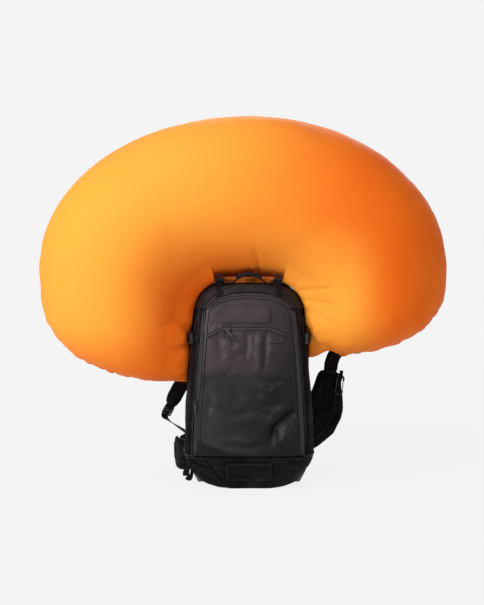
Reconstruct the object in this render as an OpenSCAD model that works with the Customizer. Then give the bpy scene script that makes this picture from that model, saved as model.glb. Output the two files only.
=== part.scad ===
// Avalanche airbag backpack, shown with its airbag inflated.
// Millimetres. X runs to the viewer's right, Y towards the wearer, Z up.
// The origin lies in the middle of the flat base.

/* [Pack body] */
// Height of the pack body from base to crown
pack_h = 545; // [525:5:575]
// Width of the body near its foot
foot_w = 356; // [340:2:364]
// Width of the body near its crown
crown_w = 278; // [270:2:290]
// Depth of the body at its fullest
body_depth = 192; // [180:2:210]
// Height of the reinforced base
base_h = 92; // [84:1:98]
// Thickness of the padded fabric walls
wall = 4; // [3:0.5:5]
// Half angle taken by the front panel, seen from above
panel_angle = 42.5; // [40:0.5:45]
// Rise of the front panel's arched top over its corners
panel_arch = 44; // [36:1:46]

/* [Back and frame] */
// Width of the back pad
pad_w = 230; // [210:2:236]
// Thickness of the back pad
pad_t = 18; // [14:1:22]
// Width of the stiff frame sheet
sheet_w = 168; // [140:2:172]

/* [Airbag] */
// Width of the inflated airbag
bag_w = 1090; // [1000:10:1160]
// Height of the airbag's crown over the base
bag_top = 996; // [900:2:1040]
// Height at which the airbag is widest
bag_mid = 590; // [560:5:610]
// How far the left lobe hangs under the widest line
lobe_drop_left = 320; // [290:5:335]
// How far the right lobe hangs under the widest line
lobe_drop_right = 250; // [235:5:330]
// Fullness of the lobes under the widest line
lobe_power = 1.5; // [1.1:0.1:1.8]
// Room between the pack's sides and the airbag
bag_ease = 2.5; // [2:0.5:8]
// Bulge of each airbag panel from the seam
bag_bulge = 175; // [140:5:190]
// Thickness of the airbag fabric
bag_wall = 1.2; // [0.8:0.1:2]

/* [Harness] */
// Width of a shoulder strap at its fullest
strap_w = 64; // [56:1:66]
// Thickness of a shoulder strap
strap_t = 14; // [12:0.5:15]
// Distance of a shoulder strap from the middle
strap_x = 82; // [80:1:86]
// Outward swing of the left strap's lower end
splay_left = 138; // [110:2:140]
// Outward swing of the right strap's lower end
splay_right = 24; // [10:2:26]
// Width of a hip wing at its fullest
wing_w = 100; // [84:2:104]
// Thickness of a hip wing
wing_t = 13; // [10:0.5:14]
// Width of the hip belt webbing
hip_web_w = 38; // [30:1:40]
// Width of the light webbing
web_w = 20; // [16:1:22]

/* [Inflation unit] */
// Width of the inflation unit
unit_w = 176; // [170:1:180]
// Height of the inflation unit
unit_h = 196; // [192:1:204]
// Radius of the blower impeller
fan_r = 40; // [34:1:41]
// Outside radius of the duct to the airbag
duct_r = 24; // [23:0.5:25]

/* [Small parts] */
// Running clearance between parts that move on each other
clear = 0.4; // [0.3:0.05:0.5]
// Radius of the carabiner's rod
rod_r = 2.6; // [2.2:0.1:2.8]
// Height of the carabiner
carabiner_h = 58; // [54:1:62]
// Travel of the trigger handle
trigger_travel = 28; // [20:1:30]

/* [Hidden] */
rear_y = 80;
gap = 0.3;
foot_r = 110;
crown_z = pack_h - 90;
lean_z = pack_h - 285;
arch_z = pack_h - 61;
panel_z = base_h + 4;
pad_face = rear_y + gap + pad_t;
pad_low = 58;
pad_high = pack_h - 65;
duct_y = rear_y - 42;
unit_low = 250;
unit_high = unit_low + unit_h;
unit_back = rear_y - 14;
unit_split = rear_y - 44;
unit_front = rear_y - 74;
sheet_y = rear_y - 8.2;
fan_x = -30;
fan_z = unit_low + 106;
spigot_r = 20;
bag_y = 45;
bag_x = -16;
bag_low = pack_h + 18;
bag_r = 94;
chest_y = pad_face + 110;
strap_top = pack_h - 68;
rail_mid = strap_top - 62;
rail_y = chest_y + strap_t / 2 + 2;
wing_root = pad_w / 2 + 1.2;

// Plain mathematics
function spow(v, p) = v < 0 ? -pow(-v, p) : pow(v, p);
function unit(v) = v / norm(v);
function mix(a, b, t) = a + (b - a) * t;
function joined(rows) = [for (r = rows) for (p = r) p];
function mirrored(path) = [for (p = path) [-p.x, p.y, p.z]];
function spline(a, b, c, d, t) =
  0.5 * (2 * b + (c - a) * t + (2 * a - 5 * b + 4 * c - d) * t * t + (3 * b - a - 3 * c + d) * t * t * t);
function smooth(p, n) = concat(
  [for (i = [0:len(p) - 2]) for (k = [0:n - 1])
    spline(p[max(i - 1, 0)], p[i], p[i + 1], p[min(i + 2, len(p) - 1)], k / n)],
  [p[len(p) - 1]]);
function heading(p, i) = unit(p[min(i + 1, len(p) - 1)] - p[max(i - 1, 0)]);
function across(p, i, s) = let (h = heading(p, i)) unit(s - h * (s * h));
function placed(o, x, y, z) =
  [[x.x, y.x, z.x, o.x], [x.y, y.y, z.y, o.y], [x.z, y.z, z.z, o.z], [0, 0, 0, 1]];
function on_path(p, i, s, lift) =
  let (h = heading(p, i), a = across(p, i, s), n = cross(a, h))
  placed(p[i] + n * lift, a, h, n);

// The outside of the pack: a squared ellipse that changes with height
function foot_round(z, k) = z < foot_r ? 1 - k * pow((foot_r - z) / foot_r, 2.2) : 1;
function crown_round(z) =
  z < crown_z ? 1 : pow(1 - pow((z - crown_z) / (pack_h + 11 - crown_z), 3), 1 / 3);
function lean(z) = z < lean_z ? 1 : 1 - 0.62 * pow((z - lean_z) / (pack_h - lean_z), 2);
function flank(z) = (foot_w + (crown_w - foot_w) * pow(z / pack_h, 1.6)) / 2;
function half_w(z) = flank(z) * foot_round(z, 0.22) * crown_round(z);
function front_at(z) = (rear_y - body_depth) * foot_round(z, 0.34) * lean(z);
function mid_y(z) = (rear_y + front_at(z)) / 2;
function half_d(z) = (rear_y - front_at(z)) / 2;
function squareness(s) = s > 0 ? 6 : 3.6;
function skin(a, z, off) = let (p = 2 / squareness(sin(a)))
  [(half_w(z) + off) * spow(cos(a), p), mid_y(z) + (half_d(z) + off) * spow(sin(a), p), z];
function front_skin(x, z, off) =
  [x, mid_y(z) - (half_d(z) + off) * pow(1 - pow(abs(x) / (half_w(z) + off), 3.6), 1 / 3.6), z];
function room_x(z, y) = let (n = squareness(y - mid_y(z)))
  (half_w(z) - wall) * pow(1 - pow(abs(y - mid_y(z)) / (half_d(z) - wall), n), 1 / n);
function panel_top(a) =
  abs(a - 270) < panel_angle ? arch_z + panel_arch * cos(90 * (a - 270) / panel_angle) : arch_z;
function ring(z, off, n) = [for (k = [0:n - 1]) skin(360 * k / n, z, off)];

// Closed solids from grids of points
module slab(outer, inner) {
  m = len(outer) - 1;
  n = len(outer[0]) - 1;
  w = n + 1;
  b = w * (m + 1);
  faces = concat(
    [for (i = [0:m - 1]) for (j = [0:n - 1]) [i * w + j, (i + 1) * w + j, (i + 1) * w + j + 1]],
    [for (i = [0:m - 1]) for (j = [0:n - 1]) [i * w + j, (i + 1) * w + j + 1, i * w + j + 1]],
    [for (i = [0:m - 1]) for (j = [0:n - 1]) [b + i * w + j, b + (i + 1) * w + j + 1, b + (i + 1) * w + j]],
    [for (i = [0:m - 1]) for (j = [0:n - 1]) [b + i * w + j, b + i * w + j + 1, b + (i + 1) * w + j + 1]],
    [for (j = [0:n - 1]) [j, j + 1, b + j + 1]],
    [for (j = [0:n - 1]) [j, b + j + 1, b + j]],
    [for (j = [0:n - 1]) [m * w + j + 1, m * w + j, b + m * w + j]],
    [for (j = [0:n - 1]) [m * w + j + 1, b + m * w + j, b + m * w + j + 1]],
    [for (i = [0:m - 1]) [(i + 1) * w, i * w, b + i * w]],
    [for (i = [0:m - 1]) [(i + 1) * w, b + i * w, b + (i + 1) * w]],
    [for (i = [0:m - 1]) [i * w + n, (i + 1) * w + n, b + (i + 1) * w + n]],
    [for (i = [0:m - 1]) [i * w + n, b + (i + 1) * w + n, b + i * w + n]]);
  polyhedron(concat(joined(outer), joined(inner)), faces, convexity = 8);
}

module loft(rings, looped = false) {
  n = len(rings[0]);
  m = len(rings);
  last = looped ? m - 1 : m - 2;
  sides = concat(
    [for (i = [0:last]) for (j = [0:n - 1]) let (k = (i + 1) % m)
      [i * n + j, k * n + j, k * n + (j + 1) % n]],
    [for (i = [0:last]) for (j = [0:n - 1]) let (k = (i + 1) % m)
      [i * n + j, k * n + (j + 1) % n, i * n + (j + 1) % n]]);
  ends = looped ? [] : concat(
    [for (j = [1:n - 2]) [0, j, j + 1]],
    [for (j = [1:n - 2]) let (e = (m - 1) * n) [e, e + j + 1, e + j]]);
  polyhedron(joined(rings), concat(sides, ends), convexity = 8);
}

// A panel of the pack between two angles and two edges
module panel(a0, a1, na, low, high, nz, off0, off1) {
  rows = [for (i = [0:nz]) [for (j = [0:na])
    let (a = mix(a0, a1, j / na)) [a, mix(low(a), high(a), i / nz)]]];
  slab([for (r = rows) [for (c = r) skin(c[0], c[1], off1)]],
    [for (r = rows) [for (c = r) skin(c[0], c[1], off0)]]);
}

// A strip on the front of the pack that follows points of x and z
module front_strip(path, h, rows, off0, off1) {
  steps = [for (i = [0:rows]) h * (i / rows - 0.5)];
  slab([for (s = steps) [for (p = path) front_skin(p[0], p[1] + s, off1)]],
    [for (s = steps) [for (p = path) front_skin(p[0], p[1] + s, off0)]]);
}

// Flat webbing along a path, its width along side
module ribbon(p, side, w, t) {
  loft([for (i = [0:len(p) - 1])
    let (s = across(p, i, is_list(side[0]) ? side[i] : side), n = cross(heading(p, i), s))
    [for (c = [[1, -1], [1, 1], [-1, 1], [-1, -1]]) p[i] + s * c[0] * w / 2 + n * c[1] * t / 2]]);
}

// A padded band along a path with a width for each point
module padded(p, side, w, t) {
  loft([for (i = [0:len(p) - 1])
    let (s = across(p, i, is_list(side[0]) ? side[i] : side), n = cross(heading(p, i), s))
    [for (k = [0:11]) p[i] + s * w[i] / 2 * spow(cos(30 * k), 0.6) + n * t[i] / 2 * spow(sin(30 * k), 0.6)]]);
}

// A round tube along a path
module tube(p, r) {
  loft([for (i = [0:len(p) - 1])
    let (s = across(p, i, [0.6, 0.2, 0.77]), n = cross(heading(p, i), s))
    [for (k = [0:7]) p[i] + s * r * cos(45 * k) + n * r * sin(45 * k)]]);
}

module rounded(w, h, r) {
  square([w - 2 * r, h], center = true);
  square([w, h - 2 * r], center = true);
  for (x = [-1, 1], y = [-1, 1])
    translate([x * (w / 2 - r), y * (h / 2 - r)])
      circle(r, $fn = 32);
}

// Extrudes a drawing of x and z towards the wearer, from y0 to y1
module towards(y0, y1) {
  translate([0, y1, 0])
    rotate([90, 0, 0])
      linear_extrude(y1 - y0)
        children();
}

// Pack body
module base_panel() {
  levels = [0, 5, 14, 28, 46, 68, base_h];
  color("#2b2b2d")
    loft(concat([for (z = levels) ring(z, 0, 40)],
      [for (k = [0:5]) ring(max(levels[6 - k], wall), -wall, 40)], [ring(wall, -wall, 40)]));
}

module side_panel(a0, a1) {
  color("#2e2e30")
    panel(a0, a1, 16, function (a) base_h + gap, function (a) panel_top(a) - gap, 10, -wall, 0);
}

module side_panel_left() {
  side_panel(128, 270 - panel_angle - 0.9);
}

module side_panel_right() {
  side_panel(270 + panel_angle + 0.9, 412);
}

module rear_shell() {
  color("#262628")
    panel(52.7, 127.3, 10, function (a) base_h + gap, function (a) arch_z - gap, 6, -wall, 0);
}

module crown_hood() {
  n = 48;
  slot = [for (k = [0:n - 1]) let (a = 360 * k / n)
    [80 * spow(cos(a), 0.5), duct_y + 28 * spow(sin(a), 0.5)]];
  outer = [for (i = [0:5]) [for (k = [0:n - 1])
    let (a = 360 * k / n) skin(a, mix(panel_top(a), pack_h, i / 5), 0)]];
  inner = [for (i = [0:5]) [for (k = [0:n - 1])
    let (a = 360 * k / n) skin(a, mix(pack_h - wall, panel_top(a), i / 5), -wall)]];
  color("#303032")
    loft(concat(outer, [[for (p = slot) [p[0], p[1], pack_h]]],
      [[for (p = slot) [p[0], p[1], pack_h - wall]]], inner), true);
}

module front_panel() {
  color("#444044")
    panel(270 - panel_angle, 270 + panel_angle, 16,
      function (a) panel_z, function (a) panel_top(a) - 1.5, 12, -wall, 0);
}

// One half of the front zip runs up one side, over the arch and down the other
module front_zip_body() {
  color("#151515")
    for (a = [270 - panel_angle - 3.6, 270 + panel_angle + 1.2])
      panel(a, a + 2.4, 1, function (a) panel_z, function (a) arch_z - 6, 12, gap, gap + 1.6);
}

module front_zip_panel() {
  color("#151515") {
    for (a = [270 - panel_angle + 0.3, 270 + panel_angle - 2.7])
      panel(a, a + 2.4, 1, function (a) panel_z + 4, function (a) arch_z - 6, 12, gap, gap + 1.6);
    panel(270 - panel_angle + 4, 270 + panel_angle - 4, 16,
      function (a) panel_top(a) - 9, function (a) panel_top(a) - 3, 1, gap, gap + 1.6);
  }
}

module zip_slider() {
  a = 270 - panel_angle - 2.4;
  p = skin(a, 236, gap + 1.6 + clear);
  color("#9a9a9c")
    translate(p)
      rotate([0, 0, -28])
        union() {
          translate([-5, -3, -8])
            cube([10, 3, 16]);
          translate([-3, -5, -28])
            cube([6, 2, 34]);
        }
}

module goggle_flap() {
  path = [for (i = [0:12]) let (x = -82 + 11.5 * i) [x, arch_z - 12]];
  color("#3c383c")
    front_strip(path, 46, 5, gap, gap + 1.6);
}

function goggle_path() = concat(
  [for (i = [0:4]) [mix(-112, -72, i / 4), mix(arch_z - 72, arch_z - 50, i / 4)]],
  [for (i = [1:8]) [mix(-72, 56, i / 8), arch_z - 50]],
  [for (i = [1:4]) [mix(56, 98, i / 4), mix(arch_z - 50, arch_z - 67, i / 4)]]);

module goggle_zip() {
  color("#151515")
    front_strip(goggle_path(), 6, 1, gap, gap + 1.6);
}

module goggle_slider() {
  z = arch_z - 50;
  lie = atan((front_at(z - 12) - front_at(z + 12)) / 24);
  color("#b8b8ba")
    translate([-58, front_skin(0, z, gap + 1.6 + clear).y, z])
      rotate([lie, 0, 0]) {
        translate([-7, -3, -4])
          cube([14, 3, 8]);
        translate([-2, -5.5, -26])
          cube([4, 2.6, 30]);
      }
}

module base_flap() {
  path = [for (i = [0:10]) [-62 + 12.4 * i, base_h - 40]];
  color("#1e1e20")
    front_strip(path, 52, 6, gap, gap + 2.4);
}

// Inside the pack
module divider() {
  rows = [for (i = [0:12]) mix(wall + gap, arch_z - 8, i / 12)];
  color("#3a3a3c")
    slab([for (z = rows) [for (s = [-1, 0, 1]) [s * (room_x(z, rear_y - 80) - 0.7), rear_y - 80, z]]],
      [for (z = rows) [for (s = [-1, 0, 1]) [s * (room_x(z, rear_y - 78) - 0.7), rear_y - 78, z]]]);
}

module frame_sheet() {
  h = pad_high - 46;
  color("#dcdcd8")
    translate([0, 0, 42 + h / 2])
      towards(sheet_y, sheet_y + 2)
        difference() {
          rounded(sheet_w, h, 26);
          for (z = [-2:2])
            translate([0, z * 74])
              circle(15, $fn = 32);
        }
}

module frame_stays() {
  h = pad_high - 70;
  color("#b9bcc0")
    for (x = [-46, 46])
      translate([x, 0, 52 + h / 2])
        towards(sheet_y + 2, sheet_y + 3.8)
          rounded(12, h, 5);
}

module back_pad() {
  h = pad_high - pad_low;
  color("#1c1c1e") {
    translate([0, 0, pad_low + h / 2])
      towards(rear_y + gap, rear_y + gap + 6)
        rounded(pad_w, h, 24);
    for (x = [-1, 1], k = [0:3])
      translate([x * (pad_w / 4 - 2), 0, pad_low + h * (2 * k + 1) / 8])
        towards(rear_y + gap + 5, pad_face)
          rounded(pad_w / 2 - 18, h / 4 - 12, 16);
  }
}

// Inflation unit
module unit_shell(y0, y1, closed_y0) {
  inside0 = closed_y0 ? y0 + 2 : y0 - 1;
  inside1 = closed_y0 ? y1 + 1 : y1 - 2;
  difference() {
    translate([0, 0, unit_low + unit_h / 2])
      towards(y0, y1)
        rounded(unit_w, unit_h, 14);
    translate([0, 0, unit_low + unit_h / 2])
      towards(inside0, inside1)
        rounded(unit_w - 4, unit_h - 4, 12);
    translate([0, duct_y, unit_high - 10])
      cylinder(h = 20, r = spigot_r + 2.4, $fn = 48);
  }
}

module screw_posts() {
  for (x = [-1, 1], z = [unit_low + 12, unit_high - 12])
    translate([x * (unit_w / 2 - 12), 0, z])
      rotate([-90, 0, 0])
        children();
}

module unit_front_cover() {
  color("#2a2c30")
    difference() {
      union() {
        unit_shell(unit_front, unit_split - gap, true);
        screw_posts()
          translate([0, 0, unit_front + 1])
            cylinder(h = unit_split - gap - unit_front - 1, r = 5, $fn = 32);
        for (x = [36, 76])
          translate([x, unit_front + 1, unit_low + 70])
            rotate([-90, 0, 0])
              cylinder(h = unit_split - 12 - gap - unit_front - 1, r = 4, $fn = 32);
      }
      screw_posts()
        translate([0, 0, unit_front - 1])
          cylinder(h = 60, r = 1.8, $fn = 32);
      translate([fan_x, unit_front - 1, fan_z])
        rotate([-90, 0, 0])
          cylinder(h = 4, r = 3, $fn = 32);
      for (k = [0:7])
        translate([fan_x, unit_front - 1, fan_z])
          rotate([0, 45 * k, 0])
            translate([8, 0, -2])
              cube([18, 4, 4]);
      translate([62, unit_front - 1, unit_high - 30])
        rotate([-90, 0, 0])
          cylinder(h = 4, r = 7 + clear, $fn = 48);
    }
}

module unit_rear_cover() {
  color("#26282b")
    difference() {
      union() {
        unit_shell(unit_split, unit_back, false);
        screw_posts()
          translate([0, 0, unit_split])
            cylinder(h = unit_back - unit_split - 1, r = 5, $fn = 32);
        screw_posts()
          translate([0, 0, unit_back - 1])
            cylinder(h = sheet_y - unit_back + 1, r = 6, $fn = 32);
      }
      screw_posts()
        translate([0, 0, unit_split - 1])
          cylinder(h = 20, r = 1.8, $fn = 32);
    }
}

module cover_screws() {
  color("#8d9094")
    screw_posts()
      difference() {
        union() {
          translate([0, 0, unit_front - 2.2])
            cylinder(h = 2.2, r = 2.8, $fn = 32);
          translate([0, 0, unit_front - 0.5])
            cylinder(h = 44, r = 1.5, $fn = 32);
        }
        translate([0, 0, unit_front - 3])
          cylinder(h = 2, r = 1.4, $fn = 6);
      }
}

// The volute carries the motor at the back and leads up to the duct
module blower_volute() {
  y0 = unit_front + 2 + gap;
  y1 = unit_back - 22;
  color("#3a3d42")
    difference() {
      union() {
        translate([fan_x, y0, fan_z])
          rotate([-90, 0, 0])
            cylinder(h = y1 - y0, r = fan_r + 11, $fn = 64);
        translate([fan_x + 10, y0 + 6, fan_z])
          cube([fan_r, y1 - y0 - 6, unit_high - 12 - gap - fan_z]);
      }
      translate([fan_x, y0 + 2, fan_z])
        rotate([-90, 0, 0])
          cylinder(h = y1 - y0 - 4, r = fan_r + 8, $fn = 64);
      translate([fan_x, y0 - 1, fan_z])
        rotate([-90, 0, 0])
          cylinder(h = 4, r = fan_r - 14, $fn = 64);
      translate([fan_x, y1 - 3, fan_z])
        rotate([-90, 0, 0])
          cylinder(h = 4, r = 5, $fn = 32);
      translate([fan_x + 13, y0 + 9, fan_z])
        cube([fan_r - 6, y1 - y0 - 12, unit_high - 11 - fan_z]);
    }
}

module impeller() {
  y0 = unit_front + 6.5;
  color("#c9ccd0")
    translate([fan_x, y0, fan_z])
      rotate([-90, 0, 0]) {
        difference() {
          union() {
            translate([0, 0, 24])
              cylinder(h = 2, r = fan_r, $fn = 64);
            cylinder(h = 25, r = 9, $fn = 48);
          }
          translate([0, 0, -1])
            cylinder(h = 40, r = 2 + clear, $fn = 32);
        }
        for (k = [0:10])
          rotate([0, 0, 360 / 11 * k])
            translate([15, 0, 2])
              rotate([0, 0, 24])
                cube([fan_r - 18, 1.6, 23]);
      }
}

module motor() {
  color("#6f7378")
    translate([fan_x, 0, fan_z])
      rotate([-90, 0, 0]) {
        translate([0, 0, unit_back - 22])
          cylinder(h = 19.5, r = 18, $fn = 64);
        translate([0, 0, unit_front + 10])
          cylinder(h = unit_back - unit_front - 30, r = 2, $fn = 32);
      }
}

module valve_spigot() {
  color("#3a3d42")
    translate([0, duct_y, 0])
      difference() {
        union() {
          translate([0, 0, unit_high - 12])
            cylinder(h = 32, r = spigot_r + 2, $fn = 64);
          translate([0, 0, unit_high - 12])
            cylinder(h = 5, r = spigot_r + 4, $fn = 64);
        }
        translate([0, 0, unit_high - 7])
          cylinder(h = 40, r = spigot_r, $fn = 64);
        translate([0, 0, unit_high - 14])
          cylinder(h = 20, r = spigot_r - 5, $fn = 64);
      }
}

module valve_flap() {
  color("#d9822b")
    translate([0, duct_y, unit_high - 7 + clear]) {
      cylinder(h = 1.6, r = spigot_r - 2.2, $fn = 48);
      translate([-6, spigot_r - 2.6, 1.4])
        rotate([0, 90, 0])
          cylinder(h = 12, r = 1.2, $fn = 32);
    }
}

module supercapacitors() {
  color("#31507e")
    for (s = [0, 1])
      translate([-69 + s * 71, unit_split, unit_low + 19.8]) {
        rotate([0, 90, 0])
          cylinder(h = 64, r = 17.5, $fn = 48);
        rotate([0, 90, 0])
          cylinder(h = 67, r = 4, $fn = 32);
      }
}

module circuit_board() {
  color("#1f6a3a")
    translate([30, unit_split - 12, unit_low + 62])
      difference() {
        cube([52, 1.6, unit_h - 86]);
        translate([46, -1, unit_h - 92])
          rotate([-90, 0, 0])
            cylinder(h = 4, r = 1.6, $fn = 32);
      }
}

module batteries() {
  color("#8a8d90")
    for (k = [0, 1])
      translate([31, unit_split - 10.2 + 7.4, unit_low + 72 + k * 15.2]) {
        rotate([0, 90, 0])
          cylinder(h = 48, r = 7.2, $fn = 48);
        rotate([0, 90, 0])
          cylinder(h = 50, r = 2.6, $fn = 32);
      }
}

module power_button() {
  color("#d9822b")
    translate([62, 0, unit_high - 30])
      rotate([-90, 0, 0]) {
        translate([0, 0, unit_front - 2.5])
          cylinder(h = 6.5, r = 7, $fn = 48);
        translate([0, 0, unit_front + 3.9])
          cylinder(h = 2, r = 9, $fn = 48);
        translate([0, 0, unit_front + 5])
          cylinder(h = 11, r = 3, $fn = 32);
      }
}

// Airbag and the way the air takes to it
module airbag_duct() {
  color("#d86a1c")
    translate([0, duct_y, unit_high + 8])
      difference() {
        cylinder(h = bag_low - 12 - unit_high - 8, r = duct_r, $fn = 64);
        translate([0, 0, -1])
          cylinder(h = 200, r = duct_r - 1.7, $fn = 64);
      }
}

// The airbag's inner edge follows the pack: over the hood, round its shoulders, down its sides
bag_in = flank(bag_low - bag_r) + bag_ease;
function bag_rim(x) = let (d = abs(x) - bag_in + bag_r)
  bag_low - bag_r + (d < 0 ? bag_r : sqrt(bag_r * bag_r - d * d));

// Fabric collar that leads the airbag out of the slot in the hood and flares to its inner edge
function collar_ring(x, y, flare, low, down = 0) =
  [for (k = [0:23]) let (a = 15 * k, c = spow(cos(a), 0.5), px = x * c)
    [px, duct_y + y * spow(sin(a), 0.5), mix(low, bag_rim(112 * c) - 0.9 - down, flare)]];

module airbag_collar() {
  z = pack_h + 3;
  color("#ec7a1e")
    loft([collar_ring(79, 27.2, 0, pack_h - 10), collar_ring(79, 27.2, 0, z),
      collar_ring(96, 30, 0.55, z, 1.4), collar_ring(112, 32, 1, z, 1.4),
      collar_ring(111, 30.5, 1, z), collar_ring(94.6, 28.5, 0.55, z + 1.5),
      collar_ring(77.5, 25.7, 0, z + 1.5), collar_ring(77.5, 25.7, 0, pack_h - 10)], true);
}

function drop(t) = t < 0 ? lobe_drop_left : lobe_drop_right;
function bag_end(t) = 180 - asin(pow(2 * (flank(bag_mid - drop(t)) + bag_ease) / bag_w, lobe_power));
function bag_foot(t) = bag_mid - drop(t) * pow(-cos(bag_end(t)), 1 / lobe_power);
function bag_outside(t) = let (f = abs(t) * bag_end(t), p = f > 90 ? 1 / lobe_power : 1)
  [sign(t) * bag_w / 2 * pow(sin(f), p) + bag_x * sin(180 * abs(t)),
    bag_mid + (f > 90 ? drop(t) : bag_top - bag_mid) * spow(cos(f), p)];
function bag_inside(t) = let (
  flat = bag_in - bag_r,
  arc = bag_r * PI / 2,
  s = abs(t) * (flat + arc + bag_low - bag_r - bag_foot(t)),
  a = (s - flat) / arc * 90,
  z = bag_low - bag_r - (s - flat - arc))
  s < flat ? [sign(t) * s, bag_low]
    : s < flat + arc ? [sign(t) * (flat + bag_r * sin(a)), bag_low - bag_r + bag_r * cos(a)]
    : [sign(t) * (flank(z) + bag_ease), z];
function bag_point(t, r, side, thin) = let (
  a = bag_inside(t), b = bag_outside(t), h = norm(b - a) / 2, d = (b - a) / norm(b - a),
  q = (a + b) / 2 + d * r * (h - thin),
  y = (bag_bulge * pow(2 * h / (bag_top - bag_low), 0.75) - thin) * pow(1 - pow(abs(r), 2.2), 0.55))
  [q[0], bag_y + side * (gap / 2 + bag_wall - thin + y), q[1]];

module bag_panel(side) {
  ts = [for (j = [0:40]) -side * 0.985 * spow((j - 20) / 20, 0.92)];
  rs = [for (i = [0:12]) sin(mix(-90, 90, i / 12))];
  slab([for (r = rs) [for (t = ts) bag_point(t, r, side, 0)]],
    [for (r = rs) [for (t = ts) bag_point(t, r, side, bag_wall)]]);
}

module airbag_front() {
  color("#f2801f")
    bag_panel(-1);
}

module airbag_rear() {
  color("#ee7a1c")
    bag_panel(1);
}

// Harness
function strap_points(splay) = smooth([
  [-strap_x + 10, pad_face + strap_t / 2 + 0.6, strap_top - 28],
  [-strap_x + 4, pad_face + strap_t / 2 + 3, strap_top],
  [-strap_x, pad_face + 40, strap_top + 24],
  [-strap_x, pad_face + 84, strap_top + 6],
  [-strap_x, chest_y, strap_top - 34],
  [-strap_x, chest_y, strap_top - 90],
  [-strap_x - splay * 0.28, chest_y - 3, strap_top - 152],
  [-strap_x - splay * 0.7, chest_y - 10, strap_top - 222],
  [-strap_x - splay, chest_y - 22, strap_top - 296]], 3);
strap_wide = [for (i = [0:24])
  strap_w * (i == 0 ? 0.8 : i == 24 ? 0.6 : i > 18 ? mix(1, 0.72, (i - 18) / 6) : mix(0.92, 1, i / 18))];
strap_thick = [for (i = [0:24]) strap_t * (i == 0 ? 0.7 : i == 24 ? 0.6 : 1)];
left_path = strap_points(splay_left);
right_path = mirrored(strap_points(splay_right));

module shoulder_strap_left() {
  color("#1f1f21")
    padded(left_path, [1, 0, 0], strap_wide, strap_thick);
}

module shoulder_strap_right() {
  color("#1f1f21")
    padded(right_path, [1, 0, 0], strap_wide, strap_thick);
}

module ladder_lock(w) {
  linear_extrude(3.4)
    difference() {
      rounded(w + 8, 26, 3);
      for (y = [-6, 6])
        translate([0, y])
          square([w + 1, 5], center = true);
    }
}

module ladder_locks() {
  color("#101010")
    for (p = [left_path, right_path])
      multmatrix(on_path(p, 24, [1, 0, 0], 0))
        translate([0, 14.5, -1.7])
          ladder_lock(web_w);
}

function lock_start(p, s, d) = let (h = heading(p, 24), n = cross(h, across(p, 24, [1, 0, 0])))
  p[24] + h * s + n * d;

// Adjuster webbing runs from each ladder lock down to the foot of the pack
module strap_webbing() {
  foot = skin(150, 124, 3);
  left = smooth([lock_start(left_path, 8, -3.8), lock_start(left_path, 18, -4.6),
    lock_start(left_path, 36, -9), mix(lock_start(left_path, 36, -8), foot, 0.5) + [-6, 4, 3],
    foot + [-4, 9, 4], skin(156, 122, 1)], 3);
  right = smooth([lock_start(right_path, 6, 3), lock_start(right_path, 19, 3.6),
    lock_start(right_path, 34, 8), [104, pad_face + 30, 154], [99, pad_face + 5, 142],
    [98, pad_face + 1.2, 124]], 3);
  n = len(left) - 1;
  turn = [for (i = [0:n]) mix([-1, 0, 0], [-0.25, -0.55, 0.8], min(1, max(0, i - 4) / (n - 7)))];
  color("#141414") {
    ribbon(left, turn, web_w, 1.4);
    ribbon(right, [1, 0, 0], web_w, 1.4);
  }
}

module load_lifters() {
  color("#141414")
    for (m = [0, 1])
      mirror([m, 0, 0])
        ribbon(smooth([[-strap_x + 8, rear_y + 1.4, pack_h - 40], [-strap_x + 6, rear_y + 16, pack_h - 30],
          [-strap_x + 2, pad_face + 34, strap_top + 36], [-strap_x, pad_face + 62, strap_top + 27.5]], 3),
          [1, 0, 0], web_w, 1.4);
}

// Trigger on the left strap
trigger_i = 18;

module on_trigger() {
  multmatrix(on_path(left_path, trigger_i, [1, 0, 0], strap_t / 2 + 1))
    children();
}

module trigger_housing() {
  color("#202226")
    on_trigger()
      difference() {
        union() {
          translate([-15, -26, 0])
            cube([30, 40, 3]);
          translate([0, -26, 10])
            rotate([-90, 0, 0])
              cylinder(h = 40, r = 9, $fn = 48);
          translate([-9, -26, 2])
            cube([18, 40, 8]);
        }
        translate([0, -20, 10])
          rotate([-90, 0, 0])
            cylinder(h = 40, r = 6 + clear, $fn = 48);
        translate([0, -30, 10])
          rotate([-90, 0, 0])
            cylinder(h = 40, r = 2, $fn = 32);
      }
}

module trigger_handle() {
  color("#e2551a")
    on_trigger()
      union() {
        translate([0, 14 - trigger_travel, 10])
          rotate([-90, 0, 0])
            cylinder(h = trigger_travel + 14, r = 6, $fn = 48);
        translate([-24, 24, 10])
          rotate([0, 90, 0])
            cylinder(h = 48, r = 8, $fn = 48);
        for (x = [-24, 24])
          translate([x, 24, 10])
            sphere(8, $fn = 32);
      }
}

module trigger_cable() {
  up = [for (i = [15:-1:5])
    let (h = heading(left_path, i), s = across(left_path, i, [1, 0, 0]), n = cross(h, s))
    left_path[i] - s * strap_w * 0.34 - n * (strap_t / 2 + 3.6)];
  start = on_path(left_path, trigger_i, [1, 0, 0], strap_t / 2 + 1);
  first = [for (v = [[0, -27, 10, 1], [0, -38, 10, 1]]) let (q = start * v) [q.x, q.y, q.z]];
  last = [[-strap_x - 14, pad_face + 6, pack_h - 22], [-strap_x - 6, rear_y + 3.4, pack_h - 26]];
  color("#18181a")
    tube(concat(first, up, last), 2.4);
}

// Sternum strap
module sternum_rails() {
  color("#1c1c1e")
    for (s = [-1, 1])
      translate([s * strap_x, rail_y, rail_mid]) {
        translate([-6, gap, -33])
          cube([12, 1.6, 66]);
        translate([-2.5, gap + 1, -33])
          cube([5, 4, 66]);
        translate([-5, gap + 4.4, -33])
          cube([10, 2, 66]);
      }
}

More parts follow.
